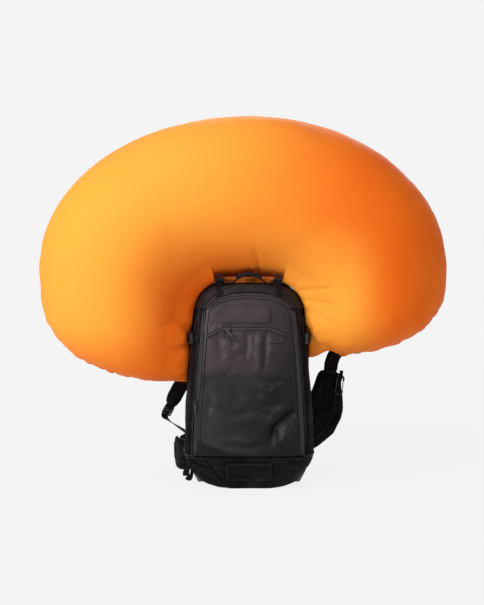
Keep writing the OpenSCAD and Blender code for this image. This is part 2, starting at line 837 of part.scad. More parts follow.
module sternum_sliders() {
  color("#101010")
    for (s = [-1, 1])
      translate([s * strap_x, rail_y + gap, rail_mid])
        difference() {
          translate([-13, 1.6 + clear, -12])
            cube([26, 8.4, 24]);
          translate([-5 - clear, 4.4 - clear, -13])
            cube([10 + 2 * clear, 2 + 2 * clear, 26]);
          translate([-2.5 - clear, 1, -13])
            cube([5 + 2 * clear, 4, 26]);
        }
}

sternum_y = rail_y + gap + 6.4;

module sternum_webbing() {
  color("#141414") {
    translate([-strap_x + 13 + gap, sternum_y - 0.7, rail_mid - web_w / 2])
      cube([strap_x - 13 - 26 - 2 * gap, 1.4, web_w]);
    translate([2, sternum_y - 3, rail_mid - web_w / 2])
      cube([strap_x - 15 - gap, 1.4, web_w]);
  }
}

// Side release buckle along X: the socket opens towards +X at the origin
module buckle_socket(w) {
  difference() {
    translate([-26, -5, -w / 2 - 4])
      cube([26, 10, w + 8]);
    translate([-19, -3, -w / 2 - 1])
      cube([20, 6, w + 2]);
    translate([-15, -3, -w / 2 - 5])
      cube([9, 6, w + 10]);
    translate([-24, -6, -w / 2])
      cube([3, 12, w]);
  }
}

module buckle_plug(w) {
  difference() {
    translate([clear, -1, -w / 2 - 3])
      cube([19, 4, w + 6]);
    for (x = [5, 12])
      translate([x, -2, -w / 2])
        cube([4, 6, w]);
  }
  for (s = [-1, 1])
    translate([-16, -1, s * (w / 2 - 2) - 1.8])
      cube([17, 3.4, 3.6]);
  for (s = [-1, 1])
    translate([-16, -1, s * (w / 2 - 1.4) - 1.9])
      cube([7, 3.4, 3.8]);
  translate([-12, -1, -1.5])
    cube([13, 3.4, 3]);
}

module sternum_buckle_female() {
  color("#101010")
    translate([0, sternum_y, rail_mid])
      buckle_socket(web_w);
}

module sternum_buckle_male() {
  color("#181818")
    translate([0, sternum_y, rail_mid])
      buckle_plug(web_w);
}

// Hip belt
left_wing_path = smooth([[-wing_root, rear_y + 5.5, 60], [-152, rear_y + 14, 60],
  [-188, rear_y + 50, 55], [-200, rear_y + 100, 54], [-196, rear_y + 152, 60]], 3);
right_wing_path = smooth([[wing_root, rear_y + 5.5, 94], [150, rear_y + 14, 100],
  [190, rear_y + 34, 146], [212, rear_y + 52, 192], [221, rear_y + 66, 242],
  [228, rear_y + 74, 288]], 3);
function turned(p) = [for (i = [0:len(p) - 1]) let (h = heading(p, i)) [-h.z, 0, h.x]];
function wing_wide(n) = [for (i = [0:n])
  let (t = i / n)
    wing_w * (i == n ? 0.5 : t < 0.6 ? mix(0.86, 1, t / 0.6) : mix(1, 0.6, pow((t - 0.6) / 0.4, 1.6)))];
right_wide = [for (i = [0:15]) wing_w
  * lookup(i, [[0, 0.94], [3, 0.86], [6, 1.24], [9, 1.22], [12, 0.92], [14, 0.74], [15, 0.56]])];
function wing_thick(n) = [for (i = [0:n]) wing_t * (i == 0 || i == n ? 0.7 : 1)];

module hip_wing_left() {
  color("#1b1b1d")
    padded(left_wing_path, [0, 0, 1], wing_wide(12), wing_thick(12));
}

module hip_wing_right() {
  color("#1b1b1d")
    padded(right_wing_path, turned(right_wing_path), right_wide, wing_thick(15));
}

function beyond(p, d) = p[len(p) - 1] + heading(p, len(p) - 1) * d;
left_web_path = smooth([beyond(left_wing_path, 0.8), beyond(left_wing_path, 11),
  beyond(left_wing_path, 22), [-172, rear_y + 204, 68], [-138, rear_y + 218, 72]], 3);
right_web_path = smooth([beyond(right_wing_path, 0.8), beyond(right_wing_path, 10),
  beyond(right_wing_path, 20), [242, rear_y + 88, 332], [266, rear_y + 94, 348],
  [292, rear_y + 94, 352]], 3);

module hip_webbing_left() {
  color("#121212")
    ribbon(left_web_path, [0, 0, 1], hip_web_w, 1.6);
}

module hip_webbing_right() {
  color("#121212")
    ribbon(right_web_path, turned(right_web_path), hip_web_w, 1.6);
}

module hip_buckle_female() {
  h = heading(left_web_path, 12);
  s = across(left_web_path, 12, [0, 0, 1]);
  color("#101010")
    multmatrix(placed(left_web_path[12] + h * 26.6, h, cross(s, h), s))
      buckle_socket(hip_web_w);
}

module hip_buckle_male() {
  h = heading(right_web_path, 15);
  s = across(right_web_path, 15, [0, 0, 1]);
  color("#101010")
    multmatrix(placed(right_web_path[15] + h * 20, -h, cross(s, -h), s))
      buckle_plug(hip_web_w);
}

// Gear loop and carabiner, in a frame on the right wing: x out, y into the wing, z up
carabiner_w = 19;
carabiner_s = carabiner_h - carabiner_w - 2 * rod_r;

module on_wing() {
  p = right_wing_path;
  s = across(p, 14, turned(p)[14]);
  n = cross(heading(p, 14), s);
  multmatrix(placed(p[14] - s * 30 + n * (wing_t / 2 + 5.4), -s, -n, heading(p, 14)))
    children();
}

module gear_loop() {
  y = rod_r + 1.1;
  color("#141414")
    on_wing()
      ribbon(smooth([[0, 5.2, 14], [0, 1 - y, 10], [0, -y, 4], [0, -y, -4], [0, 1 - y, -10],
        [0, 5.2, -14]], 2), [1, 0, 0], 10, 1.4);
}

module bend() {
  rotate([90, 0, 0])
    rotate_extrude(angle = 180, $fn = 48)
      translate([carabiner_w / 2, 0])
        circle(rod_r, $fn = 24);
}

// Rod from the spine over both bends, with a gap that the gate closes
module carabiner_body() {
  color("#161616")
    on_wing()
      translate([0, 0, -carabiner_w / 2]) {
        translate([-carabiner_w / 2, 0, -carabiner_s])
          cylinder(h = carabiner_s, r = rod_r, $fn = 24);
        bend();
        translate([0, 0, -carabiner_s])
          rotate([0, 180, 0])
            bend();
        translate([carabiner_w / 2, 0, -5])
          cylinder(h = 5, r = rod_r, $fn = 24);
        translate([carabiner_w / 2, 0, -carabiner_s])
          cylinder(h = 3, r = rod_r, $fn = 24);
      }
}

module carabiner_gate() {
  color("#c2c5c9")
    on_wing()
      translate([carabiner_w / 2, 0, 3 + clear + rod_r - 0.3 - carabiner_s - carabiner_w / 2])
        union() {
          sphere(rod_r - 0.3, $fn = 24);
          cylinder(h = carabiner_s - 8 - 2 * clear - rod_r + 0.3, r = rod_r - 0.3, $fn = 24);
        }
}

// Straps and buckles on the outside
module grab_handle() {
  y = -22;
  z = pack_h + 1.9;
  color("#111111")
    ribbon(smooth([[-62, y, z], [-48, y, z + 0.4], [-38, y, z + 8], [-20, y, z + 19], [0, y, z + 22],
      [20, y, z + 19], [38, y, z + 8], [48, y, z + 0.4], [62, y, z]], 2), [0, 1, 0], 20, 3);
}

module crown_buckles() {
  color("#0e0e0e")
    for (s = [-1, 1])
      translate([s * 77, -10, pack_h + 1.2])
        rotate([105, 0, 0])
          translate([0, 13, 0])
            ladder_lock(web_w - 4);
}

comp_z = pack_h - 140;

module compression_straps() {
  color("#121212")
    for (a = [[270 + panel_angle + 5, 380], [160, 270 - panel_angle - 5]])
      panel(a[0], a[1], 14, function (a) comp_z - web_w / 2, function (a) comp_z + web_w / 2, 2,
        gap, gap + 1.4);
}

module compression_buckles() {
  p = skin(345, comp_z, gap + 1.4 + 3 * gap);
  color("#0e0e0e")
    for (m = [0, 1])
      mirror([m, 0, 0])
        translate([p.x, p.y, comp_z])
          rotate([0, 0, 75])
            difference() {
              translate([-18, -7.4, -web_w / 2 - 4])
                cube([36, 7, web_w + 8]);
              for (x = [-12, 4])
                translate([x, -9, -web_w / 2])
                  cube([8, 10, web_w]);
            }
}

module ski_straps() {
  color("#161616") {
    panel(205, 259, 14, function (a) mix(60, 28, (a - 205) / 54),
      function (a) mix(84, 52, (a - 205) / 54), 4, gap, gap + 1.6);
    panel(270 + panel_angle + 6, 350, 8, function (a) arch_z - 46, function (a) arch_z - 22, 2,
      gap, gap + 1.4);
  }
}

base_panel();
side_panel_left();
side_panel_right();
rear_shell();
crown_hood();
front_panel();
front_zip_body();
front_zip_panel();
zip_slider();
goggle_flap();
goggle_zip();
goggle_slider();
base_flap();
divider();
frame_sheet();
frame_stays();
back_pad();
unit_front_cover();
unit_rear_cover();
cover_screws();
blower_volute();
impeller();
motor();
valve_spigot();
valve_flap();
supercapacitors();
circuit_board();
batteries();
power_button();
airbag_duct();
airbag_collar();
airbag_front();
airbag_rear();
shoulder_strap_left();
shoulder_strap_right();
strap_webbing();
ladder_locks();
load_lifters();
trigger_housing();
trigger_handle();
trigger_cable();
sternum_rails();
sternum_sliders();
sternum_webbing();
sternum_buckle_female();
sternum_buckle_male();
hip_wing_left();
hip_wing_right();
hip_webbing_left();
hip_webbing_right();
hip_buckle_female();
hip_buckle_male();
gear_loop();
carabiner_body();
carabiner_gate();
grab_handle();
crown_buckles();
compression_straps();
compression_buckles();
ski_straps();
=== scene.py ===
import bpy
import math
from mathutils import Matrix, Vector, noise
from mathutils.bvhtree import BVHTree
from mathutils.kdtree import KDTree
from types import SimpleNamespace as Values


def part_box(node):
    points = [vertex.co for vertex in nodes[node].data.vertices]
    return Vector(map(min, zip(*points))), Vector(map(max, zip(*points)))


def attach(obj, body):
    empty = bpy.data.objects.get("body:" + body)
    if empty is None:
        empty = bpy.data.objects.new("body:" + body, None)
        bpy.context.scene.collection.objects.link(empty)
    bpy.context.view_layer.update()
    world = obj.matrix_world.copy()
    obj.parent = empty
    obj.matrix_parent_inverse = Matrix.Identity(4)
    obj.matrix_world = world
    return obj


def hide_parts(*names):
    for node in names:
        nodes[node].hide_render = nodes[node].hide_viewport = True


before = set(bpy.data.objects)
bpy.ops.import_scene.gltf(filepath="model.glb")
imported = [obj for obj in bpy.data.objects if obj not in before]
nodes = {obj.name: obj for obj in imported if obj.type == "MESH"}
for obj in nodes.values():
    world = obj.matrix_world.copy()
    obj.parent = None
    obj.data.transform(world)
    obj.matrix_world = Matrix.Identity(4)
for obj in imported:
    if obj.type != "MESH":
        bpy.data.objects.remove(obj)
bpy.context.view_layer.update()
print("frame:", len(nodes), "nodes")

# camera at the photograph's angle
shot = Values(
    imageHeight=605,  # pixels
    metresPerPixel=0.00265,  # at the front of the pack
    distance=4.6,
    elevation=6.5,  # degrees
    target=(-0.0185, -0.06, 0.501),
    sensor=36.0,
)


def addCamera():
    lift = math.radians(shot.elevation)
    back = Vector((0, -math.cos(lift), math.sin(lift)))
    bpy.ops.object.camera_add(location=Vector(shot.target) + back * shot.distance)
    camera = bpy.context.object
    camera.rotation_euler = (-back).to_track_quat("-Z", "Y").to_euler()
    camera.data.sensor_width = shot.sensor
    seenHeight = shot.imageHeight * shot.metresPerPixel
    camera.data.lens = shot.sensor * shot.distance / seenHeight
    bpy.context.scene.camera = camera


addCamera()


# shared modelling steps
def clamped(value):
    return min(1.0, max(0.0, value))


def only(*pieces):
    bpy.ops.object.select_all(action="DESELECT")
    for piece in pieces:
        piece.select_set(True)
    bpy.context.view_layer.objects.active = pieces[0]


def joined(parts, name):
    only(*parts)
    if len(parts) > 1:
        bpy.ops.object.join()
    parts[0].name = parts[0].data.name = name
    return parts[0]


def startEdit(piece, action="SELECT", kind="VERT"):
    only(piece)
    bpy.ops.object.mode_set(mode="EDIT")
    bpy.ops.mesh.select_mode(type=kind)
    bpy.ops.mesh.select_all(action=action)


def endEdit():
    bpy.ops.object.mode_set(mode="OBJECT")


def applied(piece, kind, **values):
    modifier = piece.modifiers.new(kind.lower(), kind)
    for key, value in values.items():
        setattr(modifier, key, value)
    only(piece)
    bpy.ops.object.modifier_apply(modifier=modifier.name)
    return piece


weldReach = 0.00002  # joins the loose triangles of a solid


def copyNodes(name, *wanted):
    parts = []
    for node in wanted:
        part = nodes[node].copy()
        part.data = part.data.copy()
        part.parent = None
        for key in list(part.keys()):
            del part[key]
        bpy.context.scene.collection.objects.link(part)
        part.hide_render = part.hide_viewport = False
        part.hide_set(False)
        parts.append(part)
    piece = joined(parts, name)
    piece.data.materials.clear()
    startEdit(piece)
    bpy.ops.mesh.customdata_custom_splitnormals_clear()
    bpy.ops.mesh.remove_doubles(threshold=weldReach)
    bpy.ops.mesh.tris_convert_to_quads(face_threshold=math.radians(60), shape_threshold=math.radians(120))
    endEdit()
    return piece


def editWhere(piece, kind, wanted):  # edit mode with the wanted points or faces selected
    startEdit(piece, "DESELECT", kind)
    endEdit()
    for item in piece.data.polygons if kind == "FACE" else piece.data.vertices:
        item.select = wanted(item)
    only(piece)
    bpy.ops.object.mode_set(mode="EDIT")


def dropFaces(piece, unwanted):
    editWhere(piece, "FACE", unwanted)
    bpy.ops.mesh.delete(type="FACE")
    endEdit()


def smoothed(piece, levels, sharp=50, crease=1.0):
    startEdit(piece, "DESELECT", "EDGE")
    bpy.ops.mesh.edges_select_sharp(sharpness=math.radians(sharp))
    bpy.ops.transform.edge_crease(value=crease)
    endEdit()
    applied(piece, "SUBSURF", levels=levels, render_levels=levels)
    bpy.ops.object.shade_smooth()
    return piece


def pushed(piece, height, middle=None):  # along the normals, both sides of a sheet out from any middle
    steps = []
    for v in piece.data.vertices:
        normal = v.normal
        if middle and normal.dot(Vector((v.co.x - middle[0], v.co.y - middle[1], 0))) < 0:
            normal = -normal
        steps.append(normal * height(v.co, normal))
    for v, step in zip(piece.data.vertices, steps):
        v.co += step
    piece.data.update()


def ruffle(point, size, octaves=3):
    return noise.fractal(point / size, 1.0, 2.0, octaves)


def inflate(piece, pad, **settings):  # cloth under pressure, no point moving past the cap
    before = [v.co.copy() for v in piece.data.vertices]
    cloth = piece.modifiers.new("cloth", "CLOTH")
    for key, value in settings.items():
        setattr(cloth.settings, key, value)
    cloth.settings.use_pressure = True
    cloth.settings.uniform_pressure_force = pad.pressure
    cloth.settings.effector_weights.gravity = 0
    cloth.point_cache.frame_end = pad.frames
    for step in range(1, pad.frames + 1):
        bpy.context.scene.frame_set(step)
    only(piece)
    bpy.ops.object.modifier_apply(modifier=cloth.name)
    bpy.context.scene.frame_set(1)
    for vertex, start in zip(piece.data.vertices, before):
        move = vertex.co - start
        if move.length > pad.cap:
            vertex.co = start + move * (pad.cap / move.length)


def padUp(piece, pad):  # voxel remesh, cloth pressure, then one subdivision
    applied(piece, "DISPLACE", strength=-pad.inset, mid_level=0)
    applied(piece, "REMESH", mode="VOXEL", voxel_size=pad.voxel)
    inflate(piece, pad, quality=4)
    applied(piece, "SUBSURF", levels=1, render_levels=1)
    only(piece)
    bpy.ops.object.shade_smooth()
    return piece


def finishPiece(piece, material, body, slot, *replaced):
    piece.data.materials.clear()
    piece.data.materials.append(material)
    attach(piece, body)
    if replaced:
        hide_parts(*replaced)
    return piece


def joinAll(parts, name):
    piece = joined(parts, name)
    bpy.ops.object.transform_apply(location=True, rotation=True, scale=True)
    return piece


def tubeAlong(name, points, radius, closed=False, sides=3):
    curve = bpy.data.curves.new(name, "CURVE")
    curve.dimensions = "3D"
    curve.bevel_depth = radius
    curve.bevel_resolution = sides
    curve.use_fill_caps = not closed
    line = curve.splines.new("POLY")
    line.points.add(len(points) - 1)
    for spot, point in zip(line.points, points):
        spot.co = (*point, 1)
    line.use_cyclic_u = closed
    piece = bpy.data.objects.new(name, curve)
    bpy.context.scene.collection.objects.link(piece)
    only(piece)
    bpy.ops.object.convert(target="MESH")
    piece = bpy.context.object
    bpy.ops.object.shade_smooth()
    return piece


def resampled(line, pitch):
    lengths = [0.0]
    for a, b in zip(line, line[1:]):
        lengths.append(lengths[-1] + (b - a).length)
    count = max(2, round(lengths[-1] / pitch))
    out, k = [], 0
    for i in range(count + 1):
        want = lengths[-1] * i / count
        while k < len(line) - 2 and lengths[k + 1] < want:
            k += 1
        span = max(lengths[k + 1] - lengths[k], 1e-9)
        out.append(line[k].lerp(line[k + 1], (want - lengths[k]) / span))
    return out


def smoothPath(points, count):  # even curve through given points
    points = [Vector(p) for p in points]
    out = []
    for i in range(len(points) - 1):
        a, b = points[max(i - 1, 0)], points[i]
        c, d = points[i + 1], points[min(i + 2, len(points) - 1)]
        for k in range(count):
            t = k / count
            out.append(0.5 * (2 * b + (c - a) * t + (2 * a - 5 * b + 4 * c - d) * t * t
                              + (3 * b - a - 3 * c + d) * t ** 3))
    return out + [points[-1]]


def tree(*pieces):  # for finding the surface of some pieces
    corners, faces = [], []
    for piece in pieces:
        start = len(corners)
        corners += [v.co.copy() for v in piece.data.vertices]
        faces += [[start + k for k in face.vertices] for face in piece.data.polygons]
    return BVHTree.FromPolygons(corners, faces)


def onSkin(start, aim, lift=0.0):
    spot, normal = packSkin.ray_cast(Vector(start), Vector(aim))[:2]
    if normal.dot(Vector(aim)) > 0:
        normal = -normal
    return spot + normal * lift, normal


def onFront(x, z, lift=0.0):
    return onSkin((x, -1, z), (0, 1, 0), lift)[0]


def outlineOf(node, outer):  # the edge of a panel's outer face, in order
    sheet = copyNodes("outline", node)
    dropFaces(sheet, lambda face: not outer(face))
    used = {}
    for face in sheet.data.polygons:
        for key in face.edge_keys:
            used[key] = used.get(key, 0) + 1
    links = {}
    for a, b in [key for key, n in used.items() if n == 1]:
        links.setdefault(a, []).append(b)
        links.setdefault(b, []).append(a)
    spot = min(links)
    walk, last = [spot], None
    while True:
        ahead = [n for n in links[spot] if n != last]
        if not ahead or ahead[0] == walk[0] and len(walk) > 2:
            break
        last, spot = spot, ahead[0]
        if spot in walk:
            break
        walk.append(spot)
    points = [sheet.data.vertices[i].co.copy() for i in walk]
    bpy.data.objects.remove(sheet)
    return points


def outward(face):
    around = Vector((face.center.x, face.center.y + 0.01, 0)).normalized()
    return face.normal.dot(around) > 0.35


def rowOf(name, size, bevel, spots, lift=0.0):  # one eased block copied to (point, heading, normal) spots
    bpy.ops.mesh.primitive_cube_add(size=1)
    unit = bpy.context.object
    unit.scale = size
    bpy.ops.object.transform_apply(scale=True)
    startEdit(unit)
    bpy.ops.mesh.bevel(offset=bevel, segments=1, affect="EDGES")
    endEdit()
    copies = []
    for point, ahead, normal in spots:
        side = normal.cross(ahead).normalized()
        up = ahead.cross(side).normalized()
        turn = Matrix((ahead.normalized(), side, up)).transposed().to_4x4()
        part = unit.copy()
        part.data = unit.data.copy()
        part.data.transform(Matrix.Translation(point + up * lift) @ turn)
        bpy.context.scene.collection.objects.link(part)
        copies.append(part)
    bpy.data.objects.remove(unit)
    return joinAll(copies, name)


def headingAt(points, i):
    return (points[min(i + 1, len(points) - 1)] - points[max(i - 1, 0)]).normalized()


def along(points, pitch, normalAt):
    line = resampled(points, pitch)
    return [(point, headingAt(line, i), normalAt(point)) for i, point in enumerate(line)]


stitch = Values(size=(0.0032, 0.0011, 0.00088), bevel=0.00033, pitch=0.0052)


def stitchRow(name, points, normalAt=None):
    spots = along(points, stitch.pitch, normalAt or skinNormal)
    return rowOf(name, stitch.size, stitch.bevel, spots)


# shared finishes, each a node group that several materials use
def newGroup(name, given, found):
    group = bpy.data.node_groups.new(name, "ShaderNodeTree")
    for sockets, side in ((given, "INPUT"), (found, "OUTPUT")):
        for socket in sockets:
            group.interface.new_socket(name=socket, in_out=side, socket_type="NodeSocketFloat")
    return group, group.nodes.new("NodeGroupInput").outputs, group.nodes.new("NodeGroupOutput").inputs


def plug(where, value, socket):  # a number or colour is set, anything else is linked
    if isinstance(value, tuple):
        socket.default_value = (*value, 1)
    elif isinstance(value, (int, float)):
        socket.default_value = value
    else:
        where.links.new(value, socket)


def sums(where, operation, a, b=0.0, clamp=False):
    node = where.nodes.new("ShaderNodeMath")
    node.operation = operation
    node.use_clamp = clamp
    plug(where, a, node.inputs[0])
    plug(where, b, node.inputs[1])
    return node.outputs[0]


def times(where, a, b):
    return sums(where, "MULTIPLY", a, b)


def plus(where, a, b, clamp=False):
    return sums(where, "ADD", a, b, clamp)


def ranged(where, value, low, high, toLow=0.0, toHigh=1.0):
    node = where.nodes.new("ShaderNodeMapRange")
    node.interpolation_type = "SMOOTHSTEP"
    for socket, given in zip(node.inputs, (value, low, high, toLow, toHigh)):
        plug(where, given, socket)
    return node.outputs[0]


def mixed(where, share, a, b):
    node = where.nodes.new("ShaderNodeMix")
    node.data_type = "RGBA"
    for k, value in ((0, share), (6, a), (7, b)):
        plug(where, value, node.inputs[k])
    return node.outputs[2]


def speckle(where, place, scale, detail=2.0, rough=0.5):
    node = where.nodes.new("ShaderNodeTexNoise")
    for socket, value in (("Vector", place), ("Scale", scale), ("Detail", detail), ("Roughness", rough)):
        plug(where, value, node.inputs[socket])
    return node.outputs["Fac"]


def placeOf(where):
    return where.nodes.new("ShaderNodeTexCoord").outputs["Object"]


def partsOf(where, place):  # x, y and z of a place
    split = where.nodes.new("ShaderNodeSeparateXYZ")
    plug(where, place, split.inputs[0])
    return split.outputs


slant = 0.13  # keeps the threads from running level across the pack


def pairOf(where, place):  # a surface pair that runs round the pack
    x, y, z = partsOf(where, place)
    across = plus(where, sums(where, "ABSOLUTE", x), y)
    return across, plus(where, z, times(where, x, slant))


def waves(where, run, count):
    return sums(where, "SINE", times(where, run, count))


ripstop = Values(start=0.86, height=0.7, thread=0.5, tone=0.12, rubScale=0.4)


def makeClothWeave():  # plain weave with a ripstop grid
    group, given, found = newGroup("clothWeave", ("Threads", "Grid", "Mottle"), ("Height", "Tone", "Rub"))
    place = placeOf(group)
    across, up = pairOf(group, place)
    count = times(group, given["Threads"], math.pi)
    weave = times(group, waves(group, across, count), waves(group, up, count))
    ribs = []
    for run in (across, up):
        part = sums(group, "FRACT", times(group, run, given["Grid"]))
        ribs.append(sums(group, "GREATER_THAN", part, ripstop.start))
    rib = sums(group, "MAXIMUM", *ribs)
    height = plus(group, times(group, weave, ripstop.thread), times(group, rib, ripstop.height))
    plug(group, height, found["Height"])
    tone = ranged(group, speckle(group, place, given["Mottle"], 4.0, 0.55), 0.3, 0.7)
    plug(group, plus(group, times(group, rib, ripstop.tone), tone, True), found["Tone"])
    rub = speckle(group, place, times(group, given["Mottle"], ripstop.rubScale), 5.0, 0.65)
    plug(group, ranged(group, rub, 0.5, 0.72), found["Rub"])
    return group


twillShare = Values(cross=0.3, tone=0.12, fade=60.0)


def makeWebWeave():  # ribbed twill of a woven strap
    group, given, found = newGroup("webWeave", ("Ribs",), ("Height", "Tone"))
    place = placeOf(group)
    across, up = pairOf(group, place)
    twill = waves(group, plus(group, across, up), times(group, given["Ribs"], math.pi))
    cross = waves(group, sums(group, "SUBTRACT", across, up), times(group, given["Ribs"], math.tau))
    plug(group, plus(group, twill, times(group, cross, twillShare.cross)), found["Height"])
    fade = ranged(group, speckle(group, place, twillShare.fade, 4.0, 0.6), 0.3, 0.75)
    plug(group, plus(group, fade, times(group, twill, twillShare.tone), True), found["Tone"])
    return group


spacer = Values(random=0.25, hole=(0.12, 0.45), holeTone=0.55, fadeTone=0.45)


def makePadMesh():  # spacer mesh with small holes
    group, given, found = newGroup("padMesh", ("Holes", "Mottle"), ("Height", "Tone"))
    place = placeOf(group)
    cells = group.nodes.new("ShaderNodeTexVoronoi")
    for socket, value in (("Vector", place), ("Scale", given["Holes"]), ("Randomness", spacer.random)):
        plug(group, value, cells.inputs[socket])
    hole = ranged(group, cells.outputs["Distance"], *spacer.hole)
    plug(group, hole, found["Height"])
    fade = ranged(group, speckle(group, place, given["Mottle"], 4.0, 0.6), 0.3, 0.75)
    tone = plus(group, times(group, hole, spacer.holeTone), times(group, fade, spacer.fadeTone))
    plug(group, tone, found["Tone"])
    return group


edgeWear = Values(bend=(0.53, 0.62), patches=220.0)


def makeMouldGrain():  # moulded plastic: fine grain, faint flow marks, paler worn edges
    group, given, found = newGroup("mouldGrain", ("Grain", "Flow"), ("Height", "Tone", "Edge"))
    place = placeOf(group)
    plug(group, speckle(group, place, given["Grain"]), found["Height"])
    plug(group, ranged(group, speckle(group, place, given["Flow"], 4.0, 0.6), 0.3, 0.7), found["Tone"])
    bend = group.nodes.new("ShaderNodeNewGeometry").outputs["Pointiness"]
    worn = ranged(group, bend, *edgeWear.bend)
    plug(group, times(group, worn, speckle(group, place, edgeWear.patches, 3.0, 0.6)), found["Edge"])
    return group


brushStretch = 0.05


def makeMetalBrush():  # fine drawn lines and a little tarnish
    group, given, found = newGroup("metalBrush", ("Lines", "Tarnish"), ("Height", "Tone"))
    place = placeOf(group)
    across, up = pairOf(group, place)
    line = group.nodes.new("ShaderNodeCombineXYZ")
    plug(group, times(group, across, brushStretch), line.inputs[0])
    plug(group, up, line.inputs[1])
    plug(group, speckle(group, line.outputs[0], given["Lines"]), found["Height"])
    plug(group, ranged(group, speckle(group, place, given["Tarnish"], 4.0, 0.6), 0.35, 0.7), found["Tone"])
    return group


clothWeave, webWeave, padMesh = makeClothWeave(), makeWebWeave(), makePadMesh()
mouldGrain, metalBrush = makeMouldGrain(), makeMetalBrush()
bumpDepth = {
    "clothWeave": 0.0004, "webWeave": 0.0004, "padMesh": 0.0006, "mouldGrain": 0.0002, "metalBrush": 0.0002,
}
shaderSockets = {
    "gloss": "Specular IOR Level", "tint": "Specular Tint", "sheen": "Sheen Weight",
    "coat": "Coat Weight", "metal": "Metallic",
}


def newFinish(name, group, look):
    material = bpy.data.materials.new(name)
    material.use_nodes = True
    where = material.node_tree
    shader = where.nodes["Principled BSDF"]
    for key, socket in shaderSockets.items():
        if key in look:
            plug(where, look[key], shader.inputs[socket])
    node = where.nodes.new("ShaderNodeGroup")
    node.node_tree = group
    for socket in node.inputs:
        socket.default_value = look[socket.name.lower()]
    return material, where, shader, node.outputs


def coated(where, shader, weave, look, colour, depth):  # colour, roughness and bump
    plug(where, colour, shader.inputs["Base Color"])
    plug(where, ranged(where, weave["Tone"], 0.0, 1.0, *look["rough"]), shader.inputs["Roughness"])
    bump = where.nodes.new("ShaderNodeBump")
    for socket, value in (("Strength", look["bump"]), ("Distance", depth), ("Height", weave["Height"])):
        plug(where, value, bump.inputs[socket])
    plug(where, bump.outputs[0], shader.inputs["Normal"])


def finishOf(name, group, **look):
    material, where, shader, weave = newFinish(name, group, look)
    colour = mixed(where, weave["Tone"], look["dark"], look["light"])
    if "rub" in look:
        colour = mixed(where, times(where, weave["Rub"], look["rubShare"]), colour, look["rub"])
    if "edge" in look:
        colour = mixed(where, weave["Edge"], colour, look["edge"])
    coated(where, shader, weave, look, colour, bumpDepth[group.name])
    return material


bodyCloth = finishOf("bodyCloth", clothWeave, threads=1200, grid=170, mottle=18, bump=0.25,
    dark=(0.0045, 0.0033, 0.0037), light=(0.009, 0.0067, 0.0074), rub=(0.026, 0.022, 0.023), rubShare=0.22,
    rough=(0.68, 0.55), gloss=0.02)
# painted light: a lighter copy of the body cloth, as the hood's top catches the light from above
hoodLitCloth = finishOf("hoodLitCloth", clothWeave, threads=1200, grid=170, mottle=18, bump=0.25,
    dark=(0.014, 0.01, 0.011), light=(0.028, 0.0205, 0.0225), rub=(0.04, 0.034, 0.036), rubShare=0.25,
    rough=(0.66, 0.52), gloss=0.1)
baseCloth = finishOf("baseCloth", clothWeave, threads=800, grid=90, mottle=22, bump=0.35,
    dark=(0.003, 0.0026, 0.0026), light=(0.0068, 0.006, 0.006), rub=(0.032, 0.029, 0.026), rubShare=0.3,
    rough=(0.72, 0.55), gloss=0.06)
liningCloth = finishOf("liningCloth", clothWeave, threads=1500, grid=210, mottle=25, bump=0.2,
    dark=(0.1, 0.1, 0.105), light=(0.16, 0.16, 0.165), rub=(0.2, 0.2, 0.2), rubShare=0.2, rough=(0.6, 0.45))
trimCloth = finishOf("trimCloth", clothWeave, threads=900, grid=60, mottle=40, bump=0.3,
    dark=(0.006, 0.005, 0.0054), light=(0.0135, 0.0115, 0.0122), rub=(0.03, 0.027, 0.028), rubShare=0.3,
    rough=(0.66, 0.5), sheen=0.02, gloss=0.16)
blackWeb = finishOf("blackWeb", webWeave, ribs=700, bump=0.5, dark=(0.0035, 0.0032, 0.0035),
    light=(0.011, 0.0102, 0.0106), rough=(0.75, 0.55), gloss=0.08)
stitchThread = finishOf("stitchThread", webWeave, ribs=2400, bump=0.4, dark=(0.013, 0.012, 0.0125),
    light=(0.032, 0.029, 0.03), rough=(0.6, 0.45))
zipTape = finishOf("zipTape", webWeave, ribs=1500, bump=0.3, dark=(0.007, 0.0065, 0.007),
    light=(0.016, 0.015, 0.016), rough=(0.7, 0.55))
padCloth = finishOf("padCloth", padMesh, holes=320, mottle=24, bump=0.6, dark=(0.003, 0.003, 0.003),
    light=(0.0075, 0.007, 0.0073), rough=(0.85, 0.6), gloss=0.03)
wingCloth = finishOf("wingCloth", clothWeave, threads=1000, grid=130, mottle=26, bump=0.3,
    dark=(0.0024, 0.0021, 0.0021), light=(0.0064, 0.0057, 0.0057), rub=(0.018, 0.016, 0.016), rubShare=0.3,
    rough=(0.74, 0.56), gloss=0.03)
blackMould = finishOf("blackMould", mouldGrain, grain=1700, flow=50, bump=0.25, dark=(0.003, 0.003, 0.0033),
    light=(0.0075, 0.0075, 0.008), edge=(0.026, 0.026, 0.027), rough=(0.52, 0.38), gloss=0.3)
zipMould = finishOf("zipMould", mouldGrain, grain=2200, flow=90, bump=0.2, dark=(0.004, 0.004, 0.0042),
    light=(0.011, 0.011, 0.0115), edge=(0.035, 0.035, 0.035), rough=(0.45, 0.32), gloss=0.35)
unitMould = finishOf("unitMould", mouldGrain, grain=1300, flow=30, bump=0.35, dark=(0.018, 0.02, 0.022),
    light=(0.032, 0.034, 0.037), edge=(0.1, 0.1, 0.105), rough=(0.6, 0.46))
paleMould = finishOf("paleMould", mouldGrain, grain=1500, flow=35, bump=0.2, dark=(0.48, 0.5, 0.53),
    light=(0.58, 0.6, 0.63), edge=(0.7, 0.71, 0.73), rough=(0.45, 0.32))
gripMould = finishOf("gripMould", mouldGrain, grain=1100, flow=40, bump=0.35, dark=(0.58, 0.065, 0.012),
    light=(0.76, 0.105, 0.02), edge=(0.85, 0.2, 0.07), rough=(0.55, 0.4))
